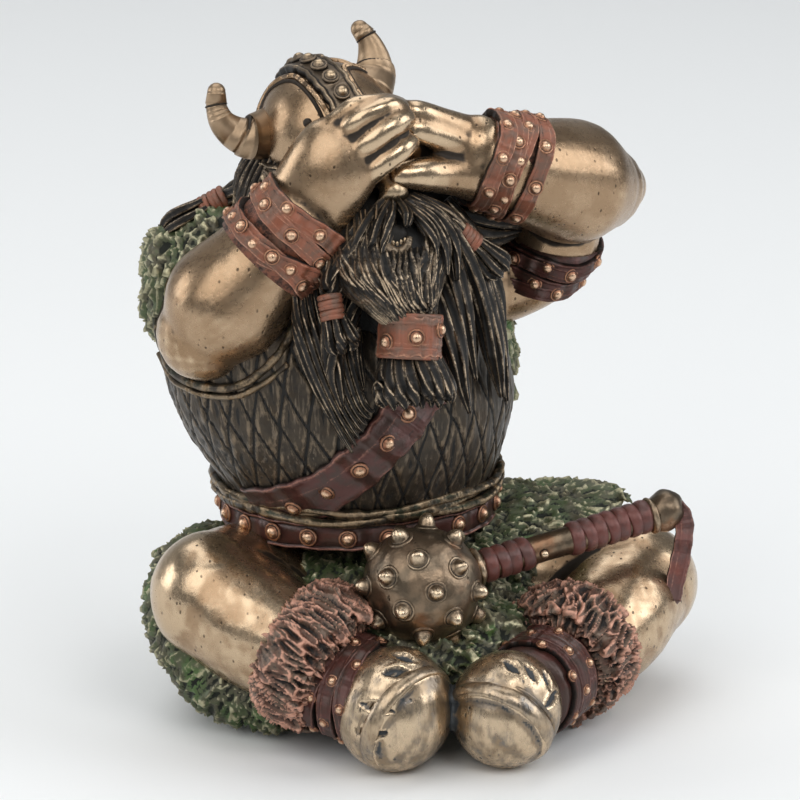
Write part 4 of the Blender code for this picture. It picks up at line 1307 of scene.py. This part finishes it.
def bracer(pile, look):
    # a plain sleeve, wound with bands that lean one way and the other
    start, end = Vector(look["start"]), Vector(look["end"])
    axis = Vector(look.get("normal", end - start)).normalized()
    first, last = look["radii"]
    sleeve = []
    for place, radius in ((start, first), (start.lerp(end, 0.5), (first + last) / 2), (end, last)):
        line = roundLine(place, (radius + 0.15,) * 2, axis, (0, 350), 35)
        sleeve.append([at(point[:3]) for point in line])
    sweep(pile, sleeve, [[leather["sleeveRidge"]] * len(ring) for ring in sleeve])
    side, other = acrossOf(axis, near=(0.1, 0.2, 1))
    width = (end - start).length / look["bands"] * leather["bandLap"]
    chance = random.Random(look["bands"] * 7 + look["studs"])
    for band in range(look["bands"]):
        odd = band % 2
        share = (band + 0.5) / look["bands"]
        centre = start.lerp(end, share)
        radius = first + (last - first) * share + 0.25
        lean = math.radians(look["lean"] * (1 if odd else -1) + chance.uniform(-4, 4))
        about = chance.uniform(0, math.tau)
        normal = (axis + spoke(side, other, about) * math.tan(lean)).normalized()
        line = roundLine(centre, (radius + 0.12 * odd,) * 2, normal, closedRound, 24, roll=side, wobble=0.35)
        strap(pile, line, width, leather["bandThick"])
        for step in range(look["studs"]):
            a = math.tau * (step + look["phase"] + 0.5 * odd) / look["studs"]
            out = spoke(side, other, a)
            shift = -math.tan(lean) * math.cos(a - about) * radius
            spot = centre + out * (radius + leather["bandThick"] * 0.75) + axis * shift
            studAt(at(spot), out, leather["studSize"])


def tieBand(pile, plait):
    root, tie, tip = (Vector(plait[name]) for name in ("root", "tie", "tip"))
    axis = (tip - root).normalized()
    wide = plait["wide"]
    for step in range(5):
        odd = step % 2
        hoop(pile, tie + axis * wide * 0.42 * (step - 2), (wide * 0.86,) * 2, wide * 0.2,
             outward=axis + Vector((0.1, 0.05, 0)) * odd, tall=1.25, around=28, ridge=0.42 + 0.14 * odd)


def beardRing(pile):
    ring = beard["ring"]
    centre = Vector(ring["centre"])
    down, aside, front = ringWays()
    line = roundLine(centre, (ring["radius"] + 0.1,) * 2, -down, closedRound, 28, roll=aside)
    strap(pile, line, ring["tall"], 0.6)
    for share in (-0.5, -0.3, 0.32, 0.5):
        hoop(pile, centre - down * ring["tall"] * share, (ring["radius"] + 0.45,) * 2, 0.26, outward=-down,
             tall=1.3, around=40, ridge=0.6)
    for degrees, lift in ring["studs"]:
        out = spoke(front, aside, math.radians(degrees))
        studAt(at(centre + out * (ring["radius"] + 0.6) - down * lift), out, 1.0)


def leatherPiece():
    pile = []
    for look in leather["bracers"]:
        bracer(pile, look)
    for plait in braids["plaits"]:
        tieBand(pile, plait)
    beardRing(pile)
    piece = joined(pile, "redLeatherBands")
    settle(piece, redLeather())


# Maroon leather: the baldric, the belt and the ankle straps.

maroon = {
    "baldric": [(9.4, -19.4, 64.6, 0.36, -0.93, 0), (6.5, -21.3, 59.3, 0.26, -0.97, 0),
                (3.6, -22.4, 57.1, 0.16, -0.99, 0), (0.6, -23.0, 53.9, 0.04, -1, 0),
                (-2.9, -22.9, 49.8, -0.09, -1, 0), (-6.5, -21.3, 45.5, -0.25, -0.97, 0),
                (-10.3, -18.1, 41.2, -0.45, -0.89, 0), (-14.1, -13.2, 37.6, -0.68, -0.74, 0),
                (-17.8, -6.3, 35.2, -0.9, -0.43, 0)],
    "baldricWide": 8.2, "baldricThick": 0.95,
    "baldricStuds": (18, 24, 30, 36, 42),  # steps along the baldric's curve
    "beltCentre": (2.7, 2, 32.0), "beltRadii": (21.9, 20.1), "beltWide": 4.6, "beltThick": 0.8, "beltStuds": 22,
    "ankles": [
        {"centre": (-10.4, -27.8, 11.8), "axis": (0.62, -0.74, -0.20), "radius": 8.0},
        {"centre": (19.6, -34.0, 10.6), "axis": (-0.80, -0.56, -0.10), "radius": 7.4},
    ],
    "ankleBands": 3, "ankleStuds": 7, "ankleWide": 2.7, "ankleStep": 2.6, "ankleThick": 0.6,
    "studSizes": {"baldric": 1.05, "belt": 1.1, "ankle": 0.72},
}


def ankleStraps(pile, look):
    centre, axis, radius = Vector(look["centre"]), Vector(look["axis"]).normalized(), look["radius"]
    side, other = acrossOf(axis)
    tube(pile, [(*(centre - axis * 5), radius * 0.97), (*(centre + axis * 5), radius * 0.98)], sides=32,
         steps=4, ridge=0.4)
    for band in range(maroon["ankleBands"]):
        spot = centre + axis * (band - 1) * maroon["ankleStep"]
        lean = Vector((0.1, -0.05, 0.12)) * (band - 1)
        line = roundLine(spot, (radius + 0.1,) * 2, axis + lean, closedRound, 24, roll=side, wobble=0.3)
        strap(pile, line, maroon["ankleWide"], maroon["ankleThick"])
        for step in range(maroon["ankleStuds"]):
            out = spoke(side, other, math.tau * (step + 0.5 * (band % 2)) / maroon["ankleStuds"])
            studAt(at(spot + out * (radius + 0.5)), out, maroon["studSizes"]["ankle"])


def maroonPiece(tree):
    pile = []
    spots = strap(pile, maroon["baldric"], maroon["baldricWide"], maroon["baldricThick"], tree=tree, steps=6)
    for step in maroon["baldricStuds"]:
        place, outward = spots[step]
        hit, normal = onto(tree, place, outward)
        spot = hit + normal * maroon["baldricThick"] * 0.9 * unit
        studAt(spot, normal, maroon["studSizes"]["baldric"])
    centre, radii = Vector(maroon["beltCentre"]), maroon["beltRadii"]
    line = roundLine(centre, radii, (0, 0, 1), (90, 452), 48, roll=(0, 1, 0), wobble=0.3)
    strap(pile, line, maroon["beltWide"], maroon["beltThick"], section="edged")
    for step in range(maroon["beltStuds"]):
        a = math.tau * step / maroon["beltStuds"]
        out = Vector((math.cos(a), math.sin(a), 0))
        spot = centre + Vector((out.x * (radii[0] + 0.8), out.y * (radii[1] + 0.8), 0))
        studAt(at(spot), out, maroon["studSizes"]["belt"])
    for look in maroon["ankles"]:
        ankleStraps(pile, look)
    bracer(pile, leather["armband"])
    piece = joined(pile, "maroonStraps")
    settle(piece, maroonLeather())


# The tunic's rolled hem and the bands round its armholes.

hem = {
    "level": 36.0, "middle": (2.4, 2), "radii": (22.9, 21.3), "roll": 0.95, "lumps": 110,
    "strands": ((0.0, 0.0), (0.7, 1.6), (-0.8, 3.0)),  # each strand's lift and phase
    "armhole": [(-29.0, 9.0, 65.0), (-29.4, 5.0, 61.0), (-29.6, 0.2, 58.1), (-28.4, -5.0, 57.2),
                (-26.6, -9.2, 57.3), (-23.8, -13.3, 58.2), (-20.5, -16.2, 61.1), (-17.6, -17.2, 64.6),
                (-14.8, -16.0, 67.9)],
    "armholeBand": [(-29.1, 6.0, 58.6), (-29.3, -0.1, 56.4), (-28.2, -4.9, 55.8), (-26.3, -9.1, 55.9),
                    (-23.5, -13.4, 56.8), (-20.3, -16.5, 59.4), (-17.0, -18.0, 62.6)],
    "tooling": ((1.3, 0.14, 41),),
}


def hemPiece():
    pile = []
    chance = random.Random(12)
    for strandNumber, (lift, phase) in enumerate(hem["strands"]):
        stations = []
        for step in range(hem["lumps"] + 2):
            a = math.tau * step / hem["lumps"] + math.pi / 2
            sway = math.sin(step * 0.31 + phase) * 0.35
            reach = 0.2 * strandNumber + math.cos(step * 0.23 + phase) * 0.3
            stations.append((hem["middle"][0] + (hem["radii"][0] + reach) * math.cos(a),
                             hem["middle"][1] + (hem["radii"][1] + reach) * math.sin(a),
                             hem["level"] + lift + sway, hem["roll"] * chance.uniform(0.75, 1.0)))
        tube(pile, stations, sides=12, steps=2, flutes=3, depth=0.25, twist=5)
    for name, lift, size in (("armhole", 0.35, 0.7), ("armholeBand", -0.25, 1.25)):
        line = []
        for x, y, z in hem[name]:
            out = Vector((x, y - 2, 0)).normalized()
            line.append((x + out.x * lift, y + out.y * lift, z, size))
        tube(pile, line, sides=14, steps=6, flat=0.5 if size > 1 else 1.0)
    piece = joined(pile, "tunicHem")
    carve(piece, roughened(*hem["tooling"]))
    markRelief(piece, rounds=3, gain=3.0)
    settle(piece, hemBronze())


def hemBronze():
    return rubbed("hemBronze", {
        "deep": (0.006, 0.005, 0.004), "body": (0.045, 0.034, 0.024), "second": (0.03, 0.034, 0.018),
        "worn": (0.26, 0.19, 0.12), "deepUnder": (0.2, 0.42), "wornOver": (0.7, 1.05), "patchy": 0.6,
        "finely": 0.5, "metal": (0.2, 0.6, 0.9), "rough": (0.6, 0.42, 0.36), "mottle": 4.0, "patch": 2.0,
        "fine": 0.4, "bump": 0.5})


# The helmet, in the head's own axes: +X to its left, -Y forwards, +Z up, from the middle of the dome.

helmet = {
    "middle": (-3.8, -1.5, 94.4), "turn": (-4, -14, 6), "radius": 10.8, "long": 1.08,
    "crestWide": 5.4, "crestThick": 0.625, "brimWide": 4.4, "brimThick": 0.8, "brimLevel": -3.4,
    "bandLift": 0.3, "rivetLift": 1.2,  # how far the bands and the rivets stand off the dome
    "rivet": 1.0, "crestRivets": range(-80, 96, 16), "brimRivets": 16,
    # each arch of ribs: degrees round and up
    "arches": [
        [(-16, -5), (-17, 10), (-19, 28), (-24, 44), (-40, 62), (-80, 72), (-120, 62), (-134, 46), (-124, 32),
         (-112, 20)],
        [(16, -5), (17, 20), (24, 48), (50, 62), (76, 50), (84, 30)],
        [(164, -5), (163, 20), (156, 48), (130, 62), (104, 50), (98, 25), (96, 0)],
        [(-164, -5), (-163, 20), (-158, 40), (-146, 30), (-140, 10), (-138, -5)],
    ],
    # archShadeLine is the radius of the dark raised line inside each rib: painted shade for a groove
    # boltHoleShade is where a small ball, all in the deep colour, stands for a bolt hole: painted shade
    "archThick": 0.5, "archShadeLine": 0.34, "boltHoleShade": (-40, 27), "boltSize": 0.75,
}


def headWay(x, y, z):
    return turnOf(helmet["turn"]).to_3x3() @ Vector((x, y, z))


def byHead(x, y, z):
    return Vector(helmet["middle"]) + headWay(x, y, z)


def onDome(side, rise, lift=0.0):
    # degrees round from the front to its left, and up from the brim's level
    a, b = math.radians(side), math.radians(rise)
    r = helmet["radius"] + lift
    front = -(r * helmet["long"]) * math.cos(a) * math.cos(b)
    return byHead(r * math.sin(a) * math.cos(b), front, r * math.sin(b))


def domePiece():
    pile = []
    r = helmet["radius"]
    ball(pile, helmet["middle"], (r, r * helmet["long"], r), turn=turnOf(helmet["turn"]), segments=72)
    tube(pile, [(*byHead(0, 0, -6), r * 0.97), (*byHead(0, 0, 0), r * 0.99)], sides=48, up=(0, 1, 0), steps=2)
    for arch in helmet["arches"]:
        # a rib, and just inside it a thin raised line all in the deep colour: painted shade that stands for a
        # groove
        rib = [(*onDome(side, rise, 0.15), helmet["archThick"]) for side, rise in arch]
        tube(pile, rib, sides=14, ridge=0.42)
        middle = sum((Vector(spot) for spot in arch), Vector((0, 0))) / len(arch)
        inner = [Vector(spot).lerp(middle, 0.14) for spot in arch]
        groove = [(*onDome(*spot), helmet["archShadeLine"]) for spot in inner]
        # ridge 0 gives the whole line the deep colour: painted shade, not a cut
        tube(pile, groove, sides=10, ridge=0.0)
    # a small ball all in the deep colour stands for a bolt hole: painted shade on a bump, not a hole
    ball(pile, onDome(*helmet["boltHoleShade"]), (helmet["boltSize"],) * 3, segments=12, ridge=0.0)
    piece = joined(pile, "helmetDome")
    settle(piece, skinBronze())


def helmetBandsPiece():
    pile = []
    long = helmet["long"]
    r, rivetReach = helmet["radius"] + helmet["bandLift"], helmet["radius"] + helmet["rivetLift"]
    crest = []
    for degrees in range(-105, 106, 10):
        a = math.radians(degrees)
        way = headWay(0, -math.sin(a) * r * long, math.cos(a) * r)
        crest.append((*(Vector(helmet["middle"]) + way), *way))
    strap(pile, crest, helmet["crestWide"], helmet["crestThick"], section="edged", steps=3)
    up, front = headWay(0, 0, 1), headWay(0, 1, 0)
    brim = byHead(0, 0, helmet["brimLevel"])
    line = roundLine(brim, (r * long, r), up, closedRound, 40, roll=-front.cross(up))
    strap(pile, line, helmet["brimWide"], helmet["brimThick"], section="edged")
    for degrees in helmet["crestRivets"]:
        a = math.radians(degrees)
        way = headWay(0, -math.sin(a) * rivetReach * long, math.cos(a) * rivetReach)
        studAt(at(Vector(helmet["middle"]) + way), way, helmet["rivet"], pile=pile)
    for step in range(helmet["brimRivets"]):
        a = math.tau * step / helmet["brimRivets"]
        out = headWay(math.sin(a), -math.cos(a), 0)
        spot = byHead(math.sin(a) * rivetReach, -math.cos(a) * (r * long + 0.9), helmet["brimLevel"])
        studAt(at(spot), out, helmet["rivet"], pile=pile)
    piece = joined(pile, "helmetBands")
    settle(piece, darkBronze())


horns = {
    "radii": (3.5, 3.15, 2.7, 2.1, 1.6, 1.3),
    "right": [(-12.6, 0.0, 94.4), (-16.4, -0.5, 94.3), (-18.7, 0.0, 95.1), (-20.4, 1.0, 96.8),
              (-21.0, 2.0, 99.2), (-20.7, 2.6, 101.2)],
    "left": [(3.0, -1.0, 99.6), (4.6, 0.0, 101.9), (5.4, 2.0, 103.9), (5.5, 3.5, 105.8), (5.1, 4.5, 107.3),
             (4.2, 5.0, 108.5)],
    "collar": (5.2, 4.1, 3.5, 3.3), "capRadii": (1.72, 1.45),
}


def hornsPiece():
    pile = []
    for name in ("right", "left"):
        path = [Vector(place) for place in horns[name]]
        horn = [(*place, radius) for place, radius in zip(path, horns["radii"])]
        tube(pile, horn, sides=32, steps=8, ridge=0.6)
        ball(pile, path[-1], (horns["radii"][-1],) * 3, segments=18, ridge=0.6)
        collarEnd = path[1].lerp(path[2], 0.4)
        inside = path[0] - (path[1] - path[0]) * 0.5
        collar = zip((inside, path[0].lerp(path[1], 0.2), path[1], collarEnd), horns["collar"])
        tube(pile, [(*place, radius) for place, radius in collar], sides=32, steps=4)
        hoop(pile, collarEnd, (3.05,) * 2, 0.3, outward=path[2] - path[1], around=36, ridge=0.05)
        hoop(pile, path[4], (1.62,) * 2, 0.16, outward=path[5] - path[3], around=24, ridge=0.0)
        wide, narrow = horns["capRadii"]
        tube(pile, [(*path[4].lerp(path[5], 0.12), wide), (*path[5], narrow)], sides=24, steps=3, ridge=0.6)
        ball(pile, path[5], (narrow,) * 3, segments=18, ridge=0.6)
    piece = joined(pile, "horns")
    settle(piece, hornBronze())


# The mace across the lap.

mace = {
    "ball": (3.0, -24.2, 25.4), "end": (45.6, -22.8, 31.8), "radius": 9.3, "knob": 1.95, "knobs": 32,
    "handle": 2.2, "pommel": 3.3, "wraps": ((0.245, 4), (0.60, 7)), "wrapStep": 0.047,
    "loop": [(46.2, -22.0, 32.8), (47.7, -23.6, 32.0), (48.2, -25.0, 29.6), (47.6, -25.4, 25.2),
             (46.7, -25.2, 20.4), (46.1, -25.2, 17.4)],
    "loopOut": (-0.35, -0.88, 0.25), "loopWide": 3.0, "loopThick": 0.75, "loopEnd": (1.6, 0.8, 1.9),
    "rivetAt": 0.475, "rivet": 0.9, "tooling": ((3.4, 0.32, 51), (1.4, 0.2, 52)),
}
knobPattern = turned([(0, -0.3, 0), (1.0, -0.3, 0), (1.0, 0.02, 0.55), (0.86, 0.12, 0.75), (0.76, 0.04, 0.1),
                      (0.7, 0.3, 0.6), (0.5, 0.78, 0.9), (0.22, 1.02, 1.0), (0, 1.08, 1.0)], steps=16)


def maceLine():
    centre, end = Vector(mace["ball"]), Vector(mace["end"])
    return centre, end, (end - centre).normalized(), (end - centre).length


def macePiece():
    pile = []
    centre, end, along, reach = maceLine()
    bm = newShape()
    bmesh.ops.create_icosphere(bm, subdivisions=5, radius=mace["radius"] * unit,
                               matrix=Matrix.Translation(at(centre)))
    paintRidge(bm, 0.45)
    keep(pile, bm)
    for i in range(mace["knobs"]):
        # the knobs are spaced by the golden angle, and none stands where the handle is
        level = 1 - 2 * (i + 0.5) / mace["knobs"]
        a = i * math.pi * (3 - math.sqrt(5)) + 0.9
        wide = math.sqrt(1 - level * level)
        out = Vector((math.cos(a) * wide, math.sin(a) * wide, level))
        if out.dot(along) < 0.93:
            setDown(pile, knobPattern, at(centre + out * mace["radius"] * 0.985), out, mace["knob"])
    tube(pile, [(*centre, mace["handle"] * 1.1), (*end, mace["handle"])], sides=24, steps=8)
    hoop(pile, centre + along * (mace["radius"] + 0.2), (mace["handle"] + 0.3,) * 2, 0.7, outward=along,
         ridge=0.8)
    ball(pile, end, (mace["pommel"],) * 3, segments=32, ridge=0.6)
    hoop(pile, end - along * 2.6, (mace["handle"] + 0.2,) * 2, 0.55, outward=along, ridge=0.7)
    facing = along.cross(Vector((0, 0, 1))).normalized()
    facing = facing if facing.y < 0 else -facing
    rivet = centre + along * reach * mace["rivetAt"] + facing * mace["handle"]
    setDown(pile, plainStud, at(rivet), facing, mace["rivet"])
    piece = joined(pile, "mace")
    carve(piece, roughened(*mace["tooling"]))
    settle(piece, maceBronze())


def maceBronze():
    return rubbed("maceBronze", {
        "deep": (0.016, 0.012, 0.009), "body": (0.25, 0.18, 0.12), "second": (0.13, 0.10, 0.070),
        "worn": (0.64, 0.50, 0.35), "stain": (0.26, 0.13, 0.07), "deepUnder": (0.12, 0.34),
        "wornOver": (0.62, 0.95), "patchy": 0.4, "finely": 0.25, "metal": (0.4, 0.9, 0.96),
        "rough": (0.55, 0.34, 0.27), "mottle": 4.0, "patch": 2.6, "fine": 0.45, "specks": (1.2, 0.48),
        "bump": 0.4})


def gripPiece():
    pile = []
    centre, end, along, reach = maceLine()
    for start, turns in mace["wraps"]:
        for turn in range(turns):
            odd = turn % 2
            place = centre + along * reach * (start + (turn + 0.5) * mace["wrapStep"])
            lean = Vector((0, 0.12, 0.1)) * (1 if odd else -0.6)
            hoop(pile, place, (mace["handle"] + 0.1,) * 2, 0.5, outward=along + lean, tall=2.25, around=28,
                 ridge=0.46 + 0.14 * odd)
    line = [(*place, *mace["loopOut"]) for place in mace["loop"]]
    strap(pile, line, mace["loopWide"], mace["loopThick"], steps=6)
    x, y, z = mace["loop"][-1]
    ball(pile, (x, y + 0.1, z + 0.3), mace["loopEnd"], turn=turnOf((0, 12, -12)), segments=20, ridge=0.6)
    piece = joined(pile, "maceGrip")
    settle(piece, gripLeather())


def gripLeather():
    return rubbed("gripLeather", {
        "deep": (0.010, 0.005, 0.004), "body": (0.150, 0.052, 0.042), "second": (0.105, 0.050, 0.044),
        "worn": (0.50, 0.26, 0.19), "stain": (0.20, 0.06, 0.04), "deepUnder": (0.1, 0.36),
        "wornOver": (0.66, 1.0), "patchy": 0.4, "finely": 0.4, "metal": (0.0, 0.25, 0.4),
        "rough": (0.65, 0.4, 0.34), "mottle": 2.6, "patch": 1.8, "fine": 0.4, "bump": 0.45})


# The shoes, seen from below: a round upper, a raised welt and a domed sole.

shoes = {
    "places": (
        {"centre": (-6.0, -34.6, 9.8), "facing": (0.43, -0.85, -0.31), "cuts": (
            ((-8.8, -38.2, 16.4), (-5.6, -39.6, 17.2)), ((-6.6, -36.4, 18.6), (-3.8, -38.2, 18.8)),
            ((-12.4, -38.6, 13.0), (-8.6, -41.0, 12.2)), ((-13.2, -38.4, 9.0), (-9.6, -41.2, 9.4)))},
        {"centre": (10.7, -40.0, 9.3), "facing": (-0.65, -0.55, -0.53), "size": 0.94, "cuts": (
            ((9.4, -42.4, 19.0), (10.6, -45.0, 17.6)), ((12.6, -43.6, 18.4), (13.6, -46.0, 15.8)),
            ((16.2, -43.6, 17.0), (16.4, -46.0, 14.4)), ((18.6, -44.4, 13.2), (14.6, -47.6, 11.8)))},
    ),
    "upper": (9.3, 8.8, 10.0), "voxel": 0.44, "sole": (8.3, 8.3, 5.6), "soleOut": 3.0,
    "weltOut": 2.6, "weltRadius": 8.55,
    # the cuts are drawn on a ball of this reach in the shoe, and end at the limit
    "cutReach": 9.2, "cutLimit": 12.5, "cutWide": 0.8, "cutDeep": 0.65,
    "tooling": ((5, 0.2, 71),), "weltTooling": ((1.6, 0.12, 74),),
}


def cutAlong(units, start, end, wide, deep):
    # a leaf-shaped cut between two places, with a raised lip; near its ends it is narrower
    a, b = np.array(start, float), np.array(end, float)
    share = np.clip((units - a) @ (b - a) / ((b - a) @ (b - a)), 0, 1)
    away = np.linalg.norm(units - a - share[:, None] * (b - a), axis=1)
    away = away / (wide * (0.3 + 0.7 * np.sin(np.pi * share)))
    return -deep * np.exp(-away ** 4) + 0.3 * deep * np.exp(-((away - 1.5) / 0.4) ** 2)


def shoeCuts(units, look):
    inner, reach = Vector(look["centre"]), shoes["cutReach"]
    away = units - np.array(inner)
    far = np.linalg.norm(away, axis=1)
    spread = np.array(inner) + away / far[:, None] * reach
    rise = 0
    for cut in look["cuts"]:
        start, end = (inner + (Vector(place) - inner).normalized() * reach for place in cut)
        rise = rise + cutAlong(spread, start, end, shoes["cutWide"], shoes["cutDeep"])
    return np.where(far < shoes["cutLimit"], rise, 0)


def shoesPiece():
    pile, welts = [], []
    for look in shoes["places"]:
        centre, facing = Vector(look["centre"]), Vector(look["facing"]).normalized()
        size = look.get("size", 1.0)
        ball(pile, centre, [radius * size for radius in shoes["upper"]], segments=48)
        ball(pile, centre + facing * shoes["soleOut"], [radius * size for radius in shoes["sole"]],
             turn=pointing(facing), segments=48)
        middle = centre + facing * shoes["weltOut"]
        radius = shoes["weltRadius"] * size
        hoop(welts, middle, (radius,) * 2, 0.8, outward=facing, tall=1.9, around=72, ridge=0.7, section=16)
        hoop(welts, middle - facing * 1.9, (radius + 0.1,) * 2, 0.45, outward=facing, around=72, ridge=0.4)
        hoop(pile, middle, (radius,) * 2, 0.5, outward=facing, tall=3.4)
    piece = joined(pile, "shoes")
    oneSkin(piece, shoes["voxel"], soften=3)

    def tooling(units):
        rise = roughened(*shoes["tooling"])(units) + grain(units * np.array([1, 1, 0.4]), 1.2, 72) * 0.05
        return rise + sum(shoeCuts(units, look) for look in shoes["places"])

    carve(piece, tooling)
    flattened(piece)
    markRelief(piece, rounds=8, gain=4.0)
    weltsPiece = joined(welts, "shoeWelts")
    carve(weltsPiece, roughened(*shoes["weltTooling"]))
    flattened(weltsPiece)
    settle(weltsPiece, shoeBronze())
    settle(piece, shoeBronze())


# The face: only the nose shows, on a plain head.

face = {
    "head": ((-2.5, -4.5, 89), (9.0, 9.3, 10.2)), "voxel": 0.6,
    "nose": ((0.4, -18.8, 88.6), (2.3, 2.2, 2.1)), "bridge": [(-1.0, -14, 91.6, 1.6), (0.0, -17.4, 89.8, 1.9)],
    "wings": ((1.9, -19.0, 87.5), (-1.2, -19.0, 87.6)), "wing": (1.1, 1.1, 1.0),
}


def facePiece():
    pile = []
    ball(pile, *face["head"], segments=32)
    limb(pile, face["bridge"])
    ball(pile, *face["nose"])
    for place in face["wings"]:
        ball(pile, place, face["wing"])
    piece = joined(pile, "face")
    oneSkin(piece, face["voxel"])
    markRelief(piece)
    settle(piece, darkBronze())


# The studio: a pale floor that curves up behind, soft lamps, and the camera at the photograph's angle.

studio = {
    "floorReach": 1.6, "bend": 0.9, "wallHigh": 1.8, "floorColour": (0.86, 0.875, 0.88),
    "world": (0.80, 0.83, 0.86), "worldStrength": 0.22,
    "aim": Vector((0, 0, 0.05)),  # the lamps point here; places are in metres
    "lamps": [
        {"place": (-0.55, -0.35, 0.62), "size": 0.75, "power": 3.4, "colour": (1.0, 0.985, 0.96)},
        {"place": (0.10, -0.58, 0.62), "size": 0.34, "power": 1.5, "colour": (1.0, 0.99, 0.98)},
        {"place": (0.66, -0.30, 0.42), "size": 0.55, "power": 2.7, "colour": (0.97, 0.985, 1.0)},
        {"place": (0.05, 0.35, 0.95), "size": 1.0, "power": 5.0, "colour": (1, 1, 1)},
        {"place": (-0.65, 0.40, 0.25), "size": 0.40, "power": 1.4, "colour": (0.97, 0.985, 1.0)},
    ],
}


def floorPiece():
    bm = bmesh.new()
    reach, bend = studio["floorReach"], studio["bend"]
    profile = [Vector((0, -reach, 0)), Vector((0, reach - bend, 0))]
    for step in range(1, 13):
        a = math.pi / 2 * step / 12
        profile.append(Vector((0, reach - bend + math.sin(a) * bend, bend - math.cos(a) * bend)))
    profile.append(Vector((0, reach, studio["wallHigh"])))
    verts = [bm.verts.new(place - Vector((reach * 1.5, 0, 0))) for place in profile]
    edges = [bm.edges.new(pair) for pair in zip(verts, verts[1:])]
    grown = bmesh.ops.extrude_edge_only(bm, edges=edges)["geom"]
    corners = [item for item in grown if isinstance(item, bmesh.types.BMVert)]
    bmesh.ops.translate(bm, verts=corners, vec=(reach * 3, 0, 0))
    bmesh.ops.recalc_face_normals(bm, faces=bm.faces)
    mesh = meshOf(bm, "floor")
    mesh.shade_smooth()
    material, _, shader = shaderFor("floorPaper")
    shader.inputs["Base Color"].default_value = (*studio["floorColour"], 1)
    shader.inputs["Roughness"].default_value = 0.7
    mesh.materials.append(material)
    linked("floor", mesh)


def aimed(name, data, place, target):
    made = linked(name, data)
    made.location = place
    made.rotation_euler = (target - made.location).to_track_quat("-Z", "Y").to_euler()
    return made


def light():
    world = bpy.data.worlds.new("studio")
    bpy.context.scene.world = world
    world.use_nodes = True
    bpy.context.scene.view_settings.view_transform = "Standard"
    background = world.node_tree.nodes["Background"]
    background.inputs["Color"].default_value = (*studio["world"], 1)
    background.inputs["Strength"].default_value = studio["worldStrength"]
    for number, lamp in enumerate(studio["lamps"]):
        data = bpy.data.lights.new("lamp" + str(number), "AREA")
        data.shape = "SQUARE"
        data.size = lamp["size"]
        data.energy = lamp["power"]
        data.color = lamp["colour"]
        aimed("lamp" + str(number), data, lamp["place"], studio["aim"])


# places in the sculptor's units
photograph = {"camera": (-236.2, -607.0, 260.7), "target": (13.16, 10.25, 44.43), "lens": 192.15}


def aimCamera():
    data = bpy.data.cameras.new("camera")
    data.lens = photograph["lens"]
    data.clip_start = 0.01
    bpy.context.scene.camera = aimed("camera", data, at(photograph["camera"]), at(photograph["target"]))


print("frame loaded, unit", round(unit, 6))
tunicPiece = tunic()
tunicSurface = surface(tunicPiece)
armsPiece()
legsPiece()
print("flesh done")
cuffPiece("right")
cuffPiece("left")
kiltPiece()
cloakPiece()
print("fur done")
facePiece()
beardPiece()
mouthPiece()
hairPiece()
braidsPiece()
print("hair done")
leatherPiece()
maroonPiece(tunicSurface)
hemPiece()
print("leather done")
domePiece()
helmetBandsPiece()
hornsPiece()
print("helmet done")
macePiece()
gripPiece()
shoesPiece()
studsPiece = joined(studs, "studs")
settle(studsPiece, copperStuds())
print("mace, shoes and studs done")
floorPiece()
light()
aimCamera()
